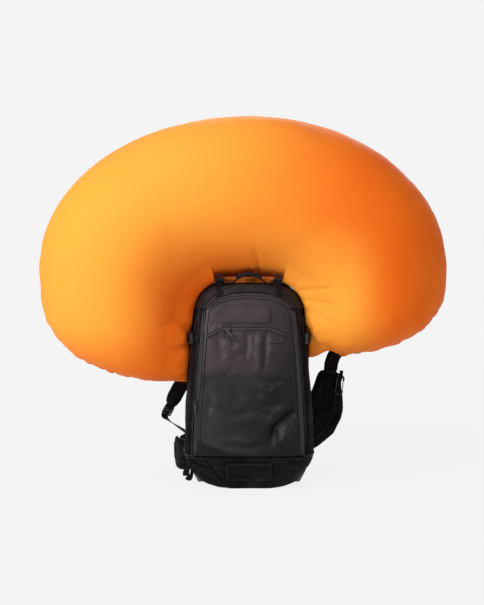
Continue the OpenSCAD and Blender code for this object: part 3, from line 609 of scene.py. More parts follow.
frameMould = finishOf("frameMould", mouldGrain, grain=900, flow=20, bump=0.2, dark=(0.52, 0.52, 0.48),
    light=(0.64, 0.64, 0.6), edge=(0.72, 0.72, 0.7), rough=(0.5, 0.36))
sleeveMould = finishOf("sleeveMould", mouldGrain, grain=700, flow=60, bump=0.1, dark=(0.022, 0.06, 0.17),
    light=(0.036, 0.095, 0.25), edge=(0.12, 0.18, 0.35), rough=(0.3, 0.2), coat=0.3)
boardMask = finishOf("boardMask", mouldGrain, grain=2500, flow=160, bump=0.15, dark=(0.009, 0.1, 0.03),
    light=(0.02, 0.19, 0.055), edge=(0.5, 0.4, 0.12), rough=(0.34, 0.24), coat=0.3)
satinAlloy = finishOf("satinAlloy", metalBrush, lines=2600, tarnish=55, bump=0.12, dark=(0.46, 0.47, 0.49),
    light=(0.62, 0.63, 0.65), rough=(0.36, 0.24), metal=1.0)
darkAlloy = finishOf("darkAlloy", metalBrush, lines=2600, tarnish=80, bump=0.1, dark=(0.01, 0.01, 0.011),
    light=(0.035, 0.035, 0.037), rough=(0.42, 0.3), metal=0.85)
satinSteel = finishOf("satinSteel", metalBrush, lines=3000, tarnish=70, bump=0.1, dark=(0.4, 0.4, 0.41),
    light=(0.6, 0.6, 0.61), rough=(0.32, 0.2), metal=1.0)
sliderSteel = finishOf("sliderSteel", metalBrush, lines=3000, tarnish=90, bump=0.1,
    dark=(0.022, 0.022, 0.023), light=(0.075, 0.075, 0.077), rough=(0.4, 0.28), metal=0.9)

# front of the pack: coated cloth in two shades that meet at the cross seam, the upper one partly painted
# light, with painted shade towards the lower right
panel = Values(
    seamZ=0.318, seamEdge=0.001, bootZ=0.101, bootRise=2.1, bootEdge=0.0006,
    threads=700.0, grid=110.0, mottle=14.0, bump=0.2, gloss=0.17, tint=(1.0, 0.9, 0.93),
    # the upper shades are the cloth's own tone, made lighter as painted light for the light on its folds
    upperDark=(0.026, 0.0195, 0.0225), upperLight=(0.047, 0.0365, 0.041),
    lowerDark=(0.0135, 0.0122, 0.012), lowerLight=(0.0255, 0.0235, 0.0228),
    # the boot's own dark cloth colour is also the colour of the painted shade at the lower right, which the
    # next values place
    bootDark=(0.004, 0.0036, 0.0036), rub=(0.05, 0.044, 0.046), rubShare=0.22, rough=(0.52, 0.4),
    worn=0.12, wornFrom=-0.02, wornTo=0.14, wornSlope=0.35, wornZ=0.3,
    wornPatch=0.06, wornScale=9.0,
)


def panelFinish():
    material, where, shader, weave = newFinish("panelCloth", clothWeave, vars(panel))
    place = placeOf(where)
    x, y, z = partsOf(where, place)
    lower = ranged(where, z, panel.seamZ + panel.seamEdge, panel.seamZ - panel.seamEdge)
    dark = mixed(where, lower, panel.upperDark, panel.lowerDark)
    light = mixed(where, lower, panel.upperLight, panel.lowerLight)
    colour = mixed(where, weave["Tone"], dark, light)
    colour = mixed(where, times(where, weave["Rub"], panel.rubShare), colour, panel.rub)
    # painted shade: darker towards the lower right, where less light falls, with a noisy edge
    slope = plus(where, x, times(where, sums(where, "SUBTRACT", panel.wornZ, z), panel.wornSlope))
    patch = times(where, speckle(where, place, panel.wornScale, 3.0), panel.wornPatch)
    side = plus(where, slope, patch)
    shade = ranged(where, side, panel.wornFrom, panel.wornTo, 0.0, 1.0 - panel.worn)
    colour = mixed(where, shade, colour, panel.bootDark)
    rise = times(where, sums(where, "POWER", sums(where, "ABSOLUTE", x), 2.0), panel.bootRise)
    under = sums(where, "SUBTRACT", sums(where, "SUBTRACT", z, panel.bootZ), rise)
    boot = ranged(where, under, panel.bootEdge, -panel.bootEdge)
    colour = mixed(where, boot, colour, panel.bootDark)
    coated(where, shader, weave, vars(panel), colour, bumpDepth["clothWeave"])
    return material


panelCloth = panelFinish()

# airbag cloth: thin coated nylon, with a painted highlight: paler where the light falls, on the upper left
# and on each lobe's flank
bagLook = Values(
    deep=(0.83, 0.125, 0.009), full=(0.86, 0.165, 0.013), pale=(0.88, 0.335, 0.043),
    threads=1400.0, grid=190.0, mottle=5.0, bump=0.12, depth=0.0003, rough=(0.56, 0.46),
    gloss=0.05, tint=(1.0, 0.7, 0.4), lobe=9.52, shift=0.45,
    foot=(0.3, 0.47, 0.25, 1.0), right=(0.25, 0.4, 1.0, 0.0),  # where the painted highlight fades out, low on the lobes and at the right
    flank=(0.3, -0.28), flankLean=-0.1, upper=(0.52, 0.78),
)


def bagFinish():
    material, where, shader, weave = newFinish("airbagCloth", clothWeave, vars(bagLook))
    x, y, z = partsOf(where, placeOf(where))
    # painted highlight: the mask called tight follows the lobes low down and the upper left up high, where
    # the light falls
    wave = sums(where, "COSINE", times(where, plus(where, x, bagLook.shift), bagLook.lobe))
    low = ranged(where, wave, -1.0, 1.0)
    low = times(where, low, ranged(where, z, *bagLook.foot))
    low = times(where, low, ranged(where, x, *bagLook.right))
    high = ranged(where, plus(where, x, times(where, z, bagLook.flankLean)), *bagLook.flank)
    tight = mixed(where, ranged(where, z, *bagLook.upper), low, high)
    colour = mixed(where, weave["Tone"], bagLook.deep, bagLook.full)
    colour = mixed(where, tight, colour, bagLook.pale)
    coated(where, shader, weave, vars(bagLook), colour, bagLook.depth)
    return material


airbagCloth = bagFinish()
# painted light: paler than the airbag cloth, to lighten the collar where it sits in shade
collarLitCloth = finishOf("collarLitCloth", clothWeave, threads=1400, grid=190, mottle=30, bump=0.15,
    dark=(0.85, 0.2, 0.025), light=(0.9, 0.27, 0.04), rub=(0.92, 0.36, 0.08), rubShare=0.3,
    rough=(0.58, 0.46), gloss=0.14)
print("finishes:", len(bpy.data.materials))

# studio
studio = Values(
    world=0.3, worldTint=(0.98, 0.97, 0.96), plain=0.94, paper=(0.905, 0.905, 0.905),
    floor=((0.82, 0.82, 0.82), (0.86, 0.86, 0.86)), floorRadius=30, floorRough=0.9,
    floorGloss=0.1, fade=(0.3, 5.0), aim=(0, 0, 0.45),  # fade in squared distance, floor to paper
    lamps=(  # name, place, size, power
        ("keyLamp", (-2.75, -2.2, 2.1), 1.7, 126.0),
        ("fillLamp", (1.3, -3.1, 2.0), 2.4, 25.0),
        ("topLamp", (0.1, -0.6, 2.9), 2.2, 15.0),
        ("backLamp", (0.6, 2.8, 1.6), 2.0, 34.0)),
)


def plainlySeen(where):  # what the camera, gloss and glass see
    ray = where.nodes.new("ShaderNodeLightPath").outputs
    return sums(where, "MAXIMUM", ray["Is Camera Ray"],
                sums(where, "MAXIMUM", ray["Is Glossy Ray"], ray["Is Transmission Ray"]))


def addPaper(where, kind, share, lit, output):  # plain paper by the given share, lit as usual otherwise
    paper = where.nodes.new(kind)
    plug(where, studio.paper, paper.inputs["Color"])
    blend = where.nodes.new("ShaderNodeMixShader")
    for k, value in enumerate((share, lit.outputs[0], paper.outputs[0])):
        plug(where, value, blend.inputs[k])
    plug(where, blend.outputs[0], where.nodes[output].inputs[0])


def lightUp():
    world = bpy.data.worlds.new("studio")
    world.use_nodes = True
    where = world.node_tree
    soft = where.nodes["Background"]
    plug(where, studio.worldTint, soft.inputs["Color"])
    plug(where, studio.world, soft.inputs["Strength"])
    addPaper(where, "ShaderNodeBackground", plainlySeen(where), soft, "World Output")
    bpy.context.scene.world = world
    for name, spot, size, power in studio.lamps:
        bpy.ops.object.light_add(type="AREA", location=spot)
        lamp = bpy.context.object
        lamp.name = name
        lamp.data.size = size
        lamp.data.energy = power
        lamp.rotation_euler = (Vector(studio.aim) - Vector(spot)).to_track_quat("-Z", "Y").to_euler()


def addFloor():
    bpy.ops.mesh.primitive_circle_add(vertices=64, radius=studio.floorRadius, fill_type="NGON")
    floor = bpy.context.object
    floor.name = "studioFloor"
    material = bpy.data.materials.new("studioPaper")
    material.use_nodes = True
    where = material.node_tree
    shader = where.nodes["Principled BSDF"]
    plug(where, studio.floorRough, shader.inputs["Roughness"])
    plug(where, studio.floorGloss, shader.inputs["Specular IOR Level"])
    place = placeOf(where)
    x, y, z = partsOf(where, place)
    plug(where, mixed(where, speckle(where, place, 3.0), *studio.floor), shader.inputs["Base Color"])
    far = plus(where, times(where, x, x), times(where, y, y))
    share = times(where, plainlySeen(where), ranged(where, far, *studio.fade, studio.plain, 1.0))
    addPaper(where, "ShaderNodeEmission", share, shader, "Material Output")
    floor.data.materials.append(material)


lightUp()
addFloor()
bpy.context.scene.view_settings.view_transform = "Standard"
print("studio ready")


def nearLine(p, q, a, b):  # distance from (p, q) to a line, and how far along it
    dx, dy = b[0] - a[0], b[1] - a[1]
    t = ((p - a[0]) * dx + (q - a[1]) * dy) / (dx * dx + dy * dy)
    k = clamped(t)
    return math.hypot(p - a[0] - k * dx, q - a[1] - k * dy), k


fold = Values(reach=3, taper=4.0, ends=0.15)


def foldAt(p, q, folds):  # sum of soft creases, each (points, width, depth)
    total = 0.0
    for points, width, depth in folds:
        best, where = 9.0, 0.0
        for i in range(len(points) - 1):
            d, t = nearLine(p, q, points[i], points[i + 1])
            if d < best:
                best, where = d, (i + t) / (len(points) - 1)
        if best < width * fold.reach:
            fade = min(1.0, fold.taper * min(where, 1 - where) + fold.ends)
            total += depth * math.exp(-(best / width) ** 2) * fade
    return total


# airbag: two sheets sewn round the rim and blown up
bag = Values(
    seamY=0.045, seamNear=0.003, edgeOn=-0.03, merge=0.0034, crease=0.6, levels=2,
    pressure=6.0, frames=20, grow=-0.035, cap=0.018, tightFrom=0.6, tight=8,
    middleZ=0.56, puckerPitch=0.021, puckerDepth=0.0052, puckerReach=0.05,
    puckerClear=(0.03, 0.06), puckerLow=(0.5, 0.14), puckerLeast=0.12, drift=(2.4, 0.05),
    uneven=(0.75, 0.5, 0.03),
    hugNear=0.022, hugFar=0.065, hugGap=0.0014, hugReach=0.12, hugTop=0.535, hugAside=0.1,
    ripple=0.0016, rippleSize=0.16,
    notch=(0.215, 0.024, 0.013), notchTop=(0.43, 0.07),  # x, width and rise of the right lobe's dent
    hugs=("side_panel_left", "side_panel_right", "crown_hood", "rear_shell", "front_panel",
          "compression_straps", "compression_buckles", "ski_straps", "load_lifters"),
    creases=(  # seen from the front, x and z
        (((0.024, 0.565), (0.022, 0.60), (0.012, 0.65)), 0.007, -0.006),
        (((0.135, 0.53), (0.175, 0.533), (0.225, 0.545)), 0.005, -0.0035),
        (((0.14, 0.505), (0.18, 0.50), (0.235, 0.497)), 0.005, -0.004),
        (((0.142, 0.482), (0.18, 0.468), (0.22, 0.448)), 0.005, -0.003),
        (((-0.15, 0.50), (-0.19, 0.508), (-0.235, 0.52)), 0.006, -0.003),
        (((-0.16, 0.46), (-0.20, 0.452), (-0.24, 0.437)), 0.006, -0.003)),
)


def onSeam(point):
    return abs(point.y - bag.seamY) < bag.seamNear


# draws the inner edge in against the pack, and dents the right lobe where it is held up
def hugPack(shell):
    skin = tree(*[nodes[name] for name in bag.hugs])
    away = []
    middle, width, rise = bag.notch
    top, over = bag.notchTop
    for v in shell.data.vertices:
        spot, normal, face, reach = skin.find_nearest(v.co, bag.hugReach)
        away.append(reach if spot else bag.hugReach)
        if spot and reach < bag.hugFar and (v.co.z < bag.hugTop or abs(v.co.x) > bag.hugAside):
            t = min(1.0, (bag.hugFar - reach) / (bag.hugFar - bag.hugNear))
            v.co += (spot - v.co) * (max(0.0, 1 - bag.hugGap / max(reach, 0.0001)) * t * t * (3 - 2 * t))
        under = clamped((top - v.co.z) / over)
        v.co.z += rise * under * math.exp(-((v.co.x - middle) / width) ** 2)
    return away


def nearestOf(points):
    finder = KDTree(len(points))
    for i, point in enumerate(points):
        finder.insert(point, i)
    finder.balance()
    return finder


def makeAirbag():
    shell = copyNodes("airbagShell", "airbag_front", "airbag_rear")
    dropFaces(shell, lambda f: (f.normal.y if f.center.y < bag.seamY else -f.normal.y) > bag.edgeOn)
    startEdit(shell)
    bpy.ops.mesh.remove_doubles(threshold=bag.merge)
    endEdit()
    creases = shell.data.attributes.new("crease_edge", "FLOAT", "EDGE")
    for edge in shell.data.edges:
        if all(onSeam(shell.data.vertices[k].co) for k in edge.vertices):
            creases.data[edge.index].value = bag.crease
    startEdit(shell, "DESELECT")
    bpy.ops.mesh.select_non_manifold(
        extend=False, use_wire=False, use_multi_face=False, use_non_contiguous=False)
    bpy.ops.mesh.fill(use_beauty=True)
    bpy.ops.mesh.select_all(action="SELECT")
    bpy.ops.mesh.normals_make_consistent(inside=False)
    endEdit()
    applied(shell, "SUBSURF", levels=bag.levels, render_levels=bag.levels)
    seam = [v.index for v in shell.data.vertices if onSeam(v.co)]
    sewn = shell.vertex_groups.new(name="sewn")
    sewn.add(seam, 1.0, "REPLACE")
    inflate(shell, bag, quality=5, mass=0.12, vertex_group_mass=sewn.name, shrink_min=bag.grow,
            bending_stiffness=0.15)
    shell.vertex_groups.clear()
    editWhere(shell, "VERT", lambda v: v.co.z > bag.tightFrom)  # the upper rim is drawn tight
    bpy.ops.mesh.vertices_smooth(factor=0.5, repeat=bag.tight)
    endEdit()
    # rim gathers, strongest along the bottom of each lobe
    rim = [shell.data.vertices[k].co.copy() for k in seam]
    marks = [math.atan2(p.z - bag.middleZ, p.x) * math.hypot(p.z - bag.middleZ, p.x) for p in rim]
    nearest = nearestOf(rim)
    applied(shell, "SUBSURF", levels=1, render_levels=1)
    packAway = hugPack(shell)
    spread = nearestOf([v.co for v in shell.data.vertices])
    (clearFrom, clearOver), (lowTop, lowOver) = bag.puckerClear, bag.puckerLow
    (drift, driftSize), (even, uneven, unevenSize) = bag.drift, bag.uneven

    def gather(co, normal):
        point, i, away = nearest.find(co)
        clear = clamped((packAway[spread.find(co)[1]] - clearFrom) / clearOver)
        low = clear * min(1.0, max(bag.puckerLeast, (lowTop - co.z) / lowOver))
        wave = math.sin(marks[i] / bag.puckerPitch * math.tau + drift * ruffle(point, driftSize))
        wave *= even + uneven * ruffle(point, unevenSize)
        reach = bag.puckerReach * (0.6 + 0.6 * low)
        pucker = 0.0
        if away < reach * fold.reach:
            pucker = bag.puckerDepth * low * wave * math.exp(-(away / reach) ** 2)
        crease = foldAt(co.x, co.z, bag.creases) if co.y < bag.seamY else 0.0
        return pucker + crease + bag.ripple * ruffle(co, bag.rippleSize)

    pushed(shell, gather)
    only(shell)
    bpy.ops.object.shade_smooth()
    finishPiece(shell, airbagCloth, "pack", "airbag_fabric", "airbag_front", "airbag_rear")
    print("airbag:", len(shell.data.polygons), "faces")


makeAirbag()

# collar with gathers where the airbag leaves the hood
collar = Values(
    folds=22, depth=0.0022, middle=(0.0, 0.038), start=0.545, over=0.012, stretch=2.4, drift=2.0,
    driftSize=0.05,
)


def makeCollar():
    sleeve = copyNodes("airbagCollar", "airbag_collar")
    smoothed(sleeve, 3, 70)

    def gather(co, normal):
        turn = math.atan2((co.y - collar.middle[1]) * collar.stretch, co.x)
        high = clamped((co.z - collar.start) / collar.over)
        drift = collar.drift * ruffle(co, collar.driftSize)
        return collar.depth * high * math.sin(turn * collar.folds + drift)

    pushed(sleeve, gather, collar.middle)
    finishPiece(sleeve, collarLitCloth, "pack", "airbag_fabric", "airbag_collar")


makeCollar()

# body panels, each a sewn sheet stuffed from inside
body = Values(
    middle=(0, 0.01), slack=0.0022, size=0.085, wrinkle=0.0016, wrinkleSize=0.07, wrinkleSteep=1.6,
    bowl=0.024, bowlFrom=0.045, bowlOver=0.1, bowlTop=0.08, baseEdge=0.03,
    foldShare=1.35, frontHalf=0.137, frontFoot=0.098, edge=0.02, seamDepth=0.0016,
    seamWidth=0.0022,
    frontFolds=(  # seen from the front, x and z
        (((-0.064, 0.437), (-0.041, 0.409), (-0.038, 0.384)), 0.007, -0.0045),
        (((-0.046, 0.43), (-0.031, 0.40), (-0.031, 0.375)), 0.008, 0.0045),
        (((-0.008, 0.43), (-0.004, 0.395), (-0.010, 0.355)), 0.007, -0.005),
        (((0.029, 0.43), (0.026, 0.363), (0.030, 0.315)), 0.009, 0.005),
        (((0.046, 0.43), (0.045, 0.38), (0.038, 0.33)), 0.008, -0.004),
        (((-0.083, 0.425), (-0.077, 0.385), (-0.068, 0.352)), 0.011, -0.003),
        (((0.128, 0.218), (0.108, 0.205), (0.07, 0.172), (0.056, 0.124)), 0.010, -0.0085),
        (((0.130, 0.182), (0.096, 0.152), (0.083, 0.122)), 0.014, 0.0065),
        (((0.112, 0.235), (0.085, 0.222), (0.05, 0.188), (0.036, 0.15)), 0.012, 0.004),
        (((0.022, 0.284), (0.055, 0.271), (0.083, 0.284)), 0.009, 0.0045),
        (((0.03, 0.302), (0.058, 0.289), (0.09, 0.30)), 0.008, -0.004),
        (((-0.044, 0.205), (0.016, 0.218), (0.062, 0.198)), 0.010, -0.0045),
        (((-0.05, 0.19), (0.01, 0.20), (0.05, 0.182)), 0.011, 0.0035),
        (((-0.117, 0.31), (-0.103, 0.257), (-0.11, 0.204)), 0.010, -0.004),
        (((-0.004, 0.257), (0.036, 0.231), (0.083, 0.232)), 0.009, -0.004),
        (((-0.02, 0.246), (0.026, 0.246), (0.06, 0.254)), 0.011, 0.003),
        (((-0.09, 0.165), (-0.055, 0.15), (-0.02, 0.158)), 0.012, -0.0035),
        (((-0.064, 0.127), (-0.011, 0.117), (0.052, 0.13)), 0.010, -0.004),
        (((-0.05, 0.142), (0.0, 0.134), (0.04, 0.145)), 0.012, 0.003)),
    sideFolds=(  # seen from the side, y and z
        (((0.02, 0.46), (0.01, 0.40), (0.015, 0.34)), 0.008, -0.005),
        (((-0.05, 0.36), (-0.04, 0.28), (-0.05, 0.20)), 0.009, -0.005),
        (((0.03, 0.30), (0.02, 0.23), (0.03, 0.15)), 0.010, -0.004),
        (((-0.03, 0.18), (0.0, 0.14), (0.04, 0.12)), 0.010, -0.004)),
)


def slack(co):
    wrinkle = 1 - abs(ruffle(Vector((co.x * body.wrinkleSteep, co.y, co.z)), body.wrinkleSize, 2))
    return body.slack * ruffle(co, body.size, 4) - body.wrinkle * wrinkle ** 4


def makePanels():
    front = smoothed(copyNodes("frontPanel", "front_panel"), 3, 55)

    def frontHeight(co, normal):
        inset = min(body.frontHalf - abs(co.x), co.z - body.frontFoot)
        seam = -body.seamDepth * math.exp(-((co.z - panel.seamZ) / body.seamWidth) ** 2)
        folds = body.foldShare * foldAt(co.x, co.z, body.frontFolds)
        return clamped(inset / body.edge) * (folds + slack(co) + seam)

    pushed(front, frontHeight, body.middle)
    finishPiece(front, panelCloth, "front_panel", "panel_fabric", "front_panel")
    for side in ("left", "right"):
        sheet = smoothed(copyNodes("sidePanel" + side.capitalize(), "side_panel_" + side), 2, 55)
        pushed(sheet, lambda co, normal: slack(co) + foldAt(co.y, co.z, body.sideFolds), body.middle)
        finishPiece(sheet, bodyCloth, "pack", "body_fabric", "side_panel_" + side)
    hood = smoothed(copyNodes("crownHood", "crown_hood"), 2, 55)
    pushed(hood, lambda co, normal: slack(co), body.middle)
    finishPiece(hood, hoodLitCloth, "pack", "body_fabric", "crown_hood")
    base = smoothed(copyNodes("baseBoot", "base_panel"), 2, 55)
    pushed(base, lambda co, normal: slack(co) * clamped(co.z / body.baseEdge), body.middle)
    for v in base.data.vertices:  # the underside rises towards its ends
        side = max(0.0, abs(v.co.x) - body.bowlFrom) / body.bowlOver
        v.co.z += body.bowl * side * side * clamped((body.bowlTop - v.co.z) / body.bowlTop)
    base.data.update()
    finishPiece(base, baseCloth, "pack", "base_fabric", "base_panel")
    rear = smoothed(copyNodes("rearSheet", "rear_shell"), 2, 55)
    finishPiece(rear, bodyCloth, "pack", "body_fabric", "rear_shell")
    lining = smoothed(copyNodes("dividerSheet", "divider"), 2, 55)
    finishPiece(lining, liningCloth, "pack", "body_fabric", "divider")


makePanels()
print("body panels made")

# straps, zip tapes and patches, bent as the solids are
def laySheets(material, slot, levels, *rows):  # each row a piece, its node and body
    for name, node, rider in rows:
        finishPiece(smoothed(copyNodes(name, node), levels, 60), material, rider, slot, node)


laySheets(
    blackWeb, "webbing", 2,
    ("shoulderWebbing", "strap_webbing", "pack"), ("loadLifters", "load_lifters", "pack"),
    ("sternumStrap", "sternum_webbing", "sternum"), ("hipStrapLeft", "hip_webbing_left", "hip_left"),
    ("hipStrapRight", "hip_webbing_right", "hip_right"), ("compressionStraps", "compression_straps", "pack"),
    ("skiLoops", "ski_straps", "pack"), ("gearLoop", "gear_loop", "hip_right"),
    ("grabHandle", "grab_handle", "pack"))
print("straps made")

# padded pieces
pads = {
    "shoulder": Values(inset=0.0016, voxel=0.0042, pressure=4.0, frames=20, cap=0.005),
    "wing": Values(inset=0.0014, voxel=0.0042, pressure=4.0, frames=20, cap=0.005),
    "back": Values(inset=0.0018, voxel=0.005, pressure=4.0, frames=20, cap=0.005),
}


def makePads():
    for side in ("Left", "Right"):
        strap = padUp(copyNodes("shoulderPad" + side, "shoulder_strap_" + side.lower()), pads["shoulder"])
        finishPiece(strap, padCloth, "pack", "pad_fabric", "shoulder_strap_" + side.lower())
        wing = padUp(copyNodes("hipPad" + side, "hip_wing_" + side.lower()), pads["wing"])
        finishPiece(wing, wingCloth, "hip_" + side.lower(), "pad_fabric", "hip_wing_" + side.lower())
    back = padUp(copyNodes("backPad", "back_pad"), pads["back"])
    finishPiece(back, padCloth, "pack", "pad_fabric", "back_pad")


makePads()
print("pads made")

laySheets(
    zipTape, "zip", 1,
    ("zipTapeBody", "front_zip_body", "pack"), ("zipTapePanel", "front_zip_panel", "front_panel"),
    ("gogglePocketZip", "goggle_zip", "front_panel"))
laySheets(panelCloth, "panel_fabric", 2, ("flapPatch", "goggle_flap", "front_panel"))
laySheets(baseCloth, "base_fabric", 2, ("basePatch", "base_flap", "pack"))
print("tapes and patches made")

# moulded, metal and inner parts keep their solids, with eased edges
rigid = (  # finish, edge easing, nodes
    (blackMould, 0.0006, "ladder_locks trigger_housing sternum_rails sternum_sliders sternum_buckle_female "
     "sternum_buckle_male hip_buckle_female hip_buckle_male crown_buckles compression_buckles"),
    (sliderSteel, 0.0003, "goggle_slider zip_slider"),
    (satinSteel, 0.0003, "cover_screws"),
    (gripMould, 0.0006, "trigger_handle"),
    (darkAlloy, 0.0004, "carabiner_body"),
    (satinAlloy, 0.0003, "carabiner_gate frame_stays motor"),
    (unitMould, 0.0005, "unit_front_cover unit_rear_cover blower_volute valve_spigot airbag_duct batteries"),
    (paleMould, 0.0004, "impeller valve_flap power_button"),
    (frameMould, 0.0004, "frame_sheet"),
    (sleeveMould, 0.0005, "supercapacitors"),
    (boardMask, 0.0003, "circuit_board"))
for material, ease, wanted in rigid:
    for node in wanted.split():
        solid = nodes[node]
        solid.data.materials.clear()
        solid.data.materials.append(material)
        solid.modifiers.new("weld", "WELD").merge_threshold = weldReach
        easing = solid.modifiers.new("ease", "BEVEL")
        easing.width = ease
        easing.segments = 2
        easing.limit_method = "ANGLE"
        easing.angle_limit = math.radians(40)
print("solids finished")

# seams, piping and zips are laid on the finished panels
packSkin = tree(*[bpy.data.objects[name] for name in (
    "frontPanel", "sidePanelLeft", "sidePanelRight", "crownHood", "baseBoot", "rearSheet",
    "flapPatch", "basePatch")])
packForm = Values(
    halfWidth=0.16, halfDepth=0.096, middleY=-0.016, square=2.6, leanFrom=0.26, lean=1.7,
    crownFrom=0.5, crownOver=0.045, crown=8.0, axisY=-0.01,
)


def skinNormal(point):  # smooth outward direction at a place on the pack
    width, depth, square = packForm.halfWidth, packForm.halfDepth, packForm.square
    x, y = point.x / width, (point.y - packForm.middleY) / depth
    out = Vector((math.copysign(abs(x) ** square, x) / width, math.copysign(abs(y) ** square, y) / depth, 0))
    lean = abs(out.y) * max(0.0, point.z - packForm.leanFrom) * packForm.lean
    out.z = lean + packForm.crown * max(0.0, point.z - packForm.crownFrom) / packForm.crownOver
    return out.normalized()


probe = Values(start=0.03, skinReach=0.05, padReach=0.06, padHalf=0.006)


def settled(point, lift=0.0):
    normal = skinNormal(point)
    spot = packSkin.ray_cast(point + normal * probe.start, -normal, probe.skinReach)[0]
    return (spot if spot else point) + normal * lift


def beside(points, away, lift=0.0):  # a line moved sideways over the skin
    out = []
    for i, point in enumerate(points):
        aside = headingAt(points, i).cross(skinNormal(point)).normalized()
        out.append(settled(point + aside * away, lift))
    return out


def aroundPack(z, first, last, lift, count=90):
    middle = Vector((0, packForm.axisY, z))
    out = []
    for i in range(count + 1):
        turn = math.radians(first + (last - first) * i / count)
        aim = Vector((math.cos(turn), math.sin(turn), 0))
        spot = onSkin(middle + aim, -aim, lift)[0]
        if (spot - middle).dot(aim) > 0:  # not through a seam to the far wall
            out.append(spot)
    return out


def onFrontLine(points, lift=0.0, pitch=0.006):
    line = resampled([Vector((x, 0, z)) for x, z in points], pitch)
    return [onFront(p.x, p.z, lift) for p in line]


def archLine():
    loop = outlineOf("front_panel", outward)
    low = min(p.z for p in loop) + 0.002
    start = next(i for i in range(len(loop)) if loop[i - 1].z < low <= loop[i].z)
    loop = loop[start - 1:] + loop[:start - 1]
    arch = [loop[0]] + [p for p in loop if p.z >= low]
    return arch if arch[0].x < arch[-1].x else arch[::-1]


def stitched(name, points, body, slot):
    finishPiece(stitchRow(name, points), stitchThread, body, slot)


def piped(name, points, radius, body, slot, material=trimCloth, closed=False):
    finishPiece(tubeAlong(name, points, radius, closed), material, body, slot)


tooth = Values(size=(0.0017, 0.0021, 0.0013), bevel=0.0004, pitch=0.0029, apart=0.0014, lift=0.0004)


def toothed(name, points, body):
    row = rowOf(name, tooth.size, tooth.bevel, along(points, tooth.pitch, skinNormal), tooth.lift)
    finishPiece(row, zipMould, body, "zip")


frontZip = Values(  # distance from the opening's edge, and lift off the cloth
    teeth=0.0016, bodyPiping=(-0.0115, 0.0008), bodyStitch=(-0.0155, 0.0003),
    panelPiping=(0.0115, 0.0005), panelStitch=(0.0145, 0.0002),
)
goggle = Values(
    path=((-0.112, 0.412), (-0.072, 0.434), (0.056, 0.434), (0.098, 0.417)),
    lift=0.0008, apart=0.0013, welt=0.0048, weltRadius=0.0015, weltLift=0.0004,
    pull=((-0.057, 0.431), (-0.046, 0.418), (-0.032, 0.404)), pullLift=0.0036,
    pullSide=(0.7, 0, 0.7), pullWide=0.0055, pullThick=0.0022,
    travelStep=0.005, travelSteps=20,
)


def makeZips():
    arch = resampled(archLine(), 0.008)
    toothed("zipTeethBody", beside(arch, -tooth.apart, frontZip.teeth), "pack")
    toothed("zipTeethPanel", beside(arch, tooth.apart, frontZip.teeth), "front_panel")
    piped("archPiping", beside(arch, *frontZip.bodyPiping), 0.0018, "pack", "body_fabric")
    stitched("archStitchOuter", beside(arch, *frontZip.bodyStitch), "pack", "body_fabric")
    piped("panelPiping", beside(arch, *frontZip.panelPiping), 0.0012, "front_panel", "panel_fabric")
    stitched("panelStitch", beside(arch, *frontZip.panelStitch), "front_panel", "panel_fabric")
    pocket = onFrontLine(goggle.path, goggle.lift)
    rims = (("Upper", 1), ("Lower", -1))
    for name, sign in rims:
        step = Vector((0, 0, sign * goggle.apart))
        toothed("goggleTeeth" + name, [p + step for p in pocket], "front_panel")
    for name, sign in rims:
        welt = onFrontLine([(x, z + sign * goggle.welt) for x, z in goggle.path], goggle.weltLift)
        piped("goggleWelt" + name, welt, goggle.weltRadius, "front_panel", "panel_fabric", panelCloth)


makeZips()

seams = Values(
    sideY=(-0.052, -0.004), sideFoot=0.098, sideRise=0.38, sideSteps=40, stitchAside=0.005,
    hood=(0.4838, -18, 198), boot=(0.0935, -30, 210),  # height, first and last angle
    bootStitch=(0.0875, -38, 218), piping=0.0017, sidePiping=0.0015, sideLift=0.0006,
    pipingLift=0.0005, stitchLift=0.0003, panelLift=0.0002, footLift=0.0004,
    crossHalf=0.126, crossAbove=0.0036, footHalf=13,
    flapInsets=(0.0035, 0.0065), baseInset=0.004,
    slotHalf=(0.0815, 0.0295), slotY=0.038, slotZ=0.5456, slotSteps=72,
)


def sideLine(sign, y, lift):
    steps = seams.sideSteps
    heights = [seams.sideFoot + seams.sideRise * i / steps for i in range(steps + 1)]
    return [onSkin((sign, y, z), (-sign, 0, 0), lift)[0] for z in heights]


def patchLine(node, inset):  # a rectangle inside a patch's edge
    low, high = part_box(node)
    left, right, foot, top = low.x + inset, high.x - inset, low.z + inset, high.z - inset
    corners = ((left, foot), (right, foot), (right, top), (left, top), (left, foot))
    return onFrontLine(corners, seams.panelLift)


def slotLine():  # squared ring where the airbag leaves the hood
    width, depth = seams.slotHalf
    ring = []
    for k in range(seams.slotSteps):
        turn = math.tau * k / seams.slotSteps
        x, y = [math.copysign(abs(c) ** 0.5, c) for c in (math.cos(turn), math.sin(turn))]
        ring.append(Vector((x * width, seams.slotY + y * depth, seams.slotZ)))
    return ring


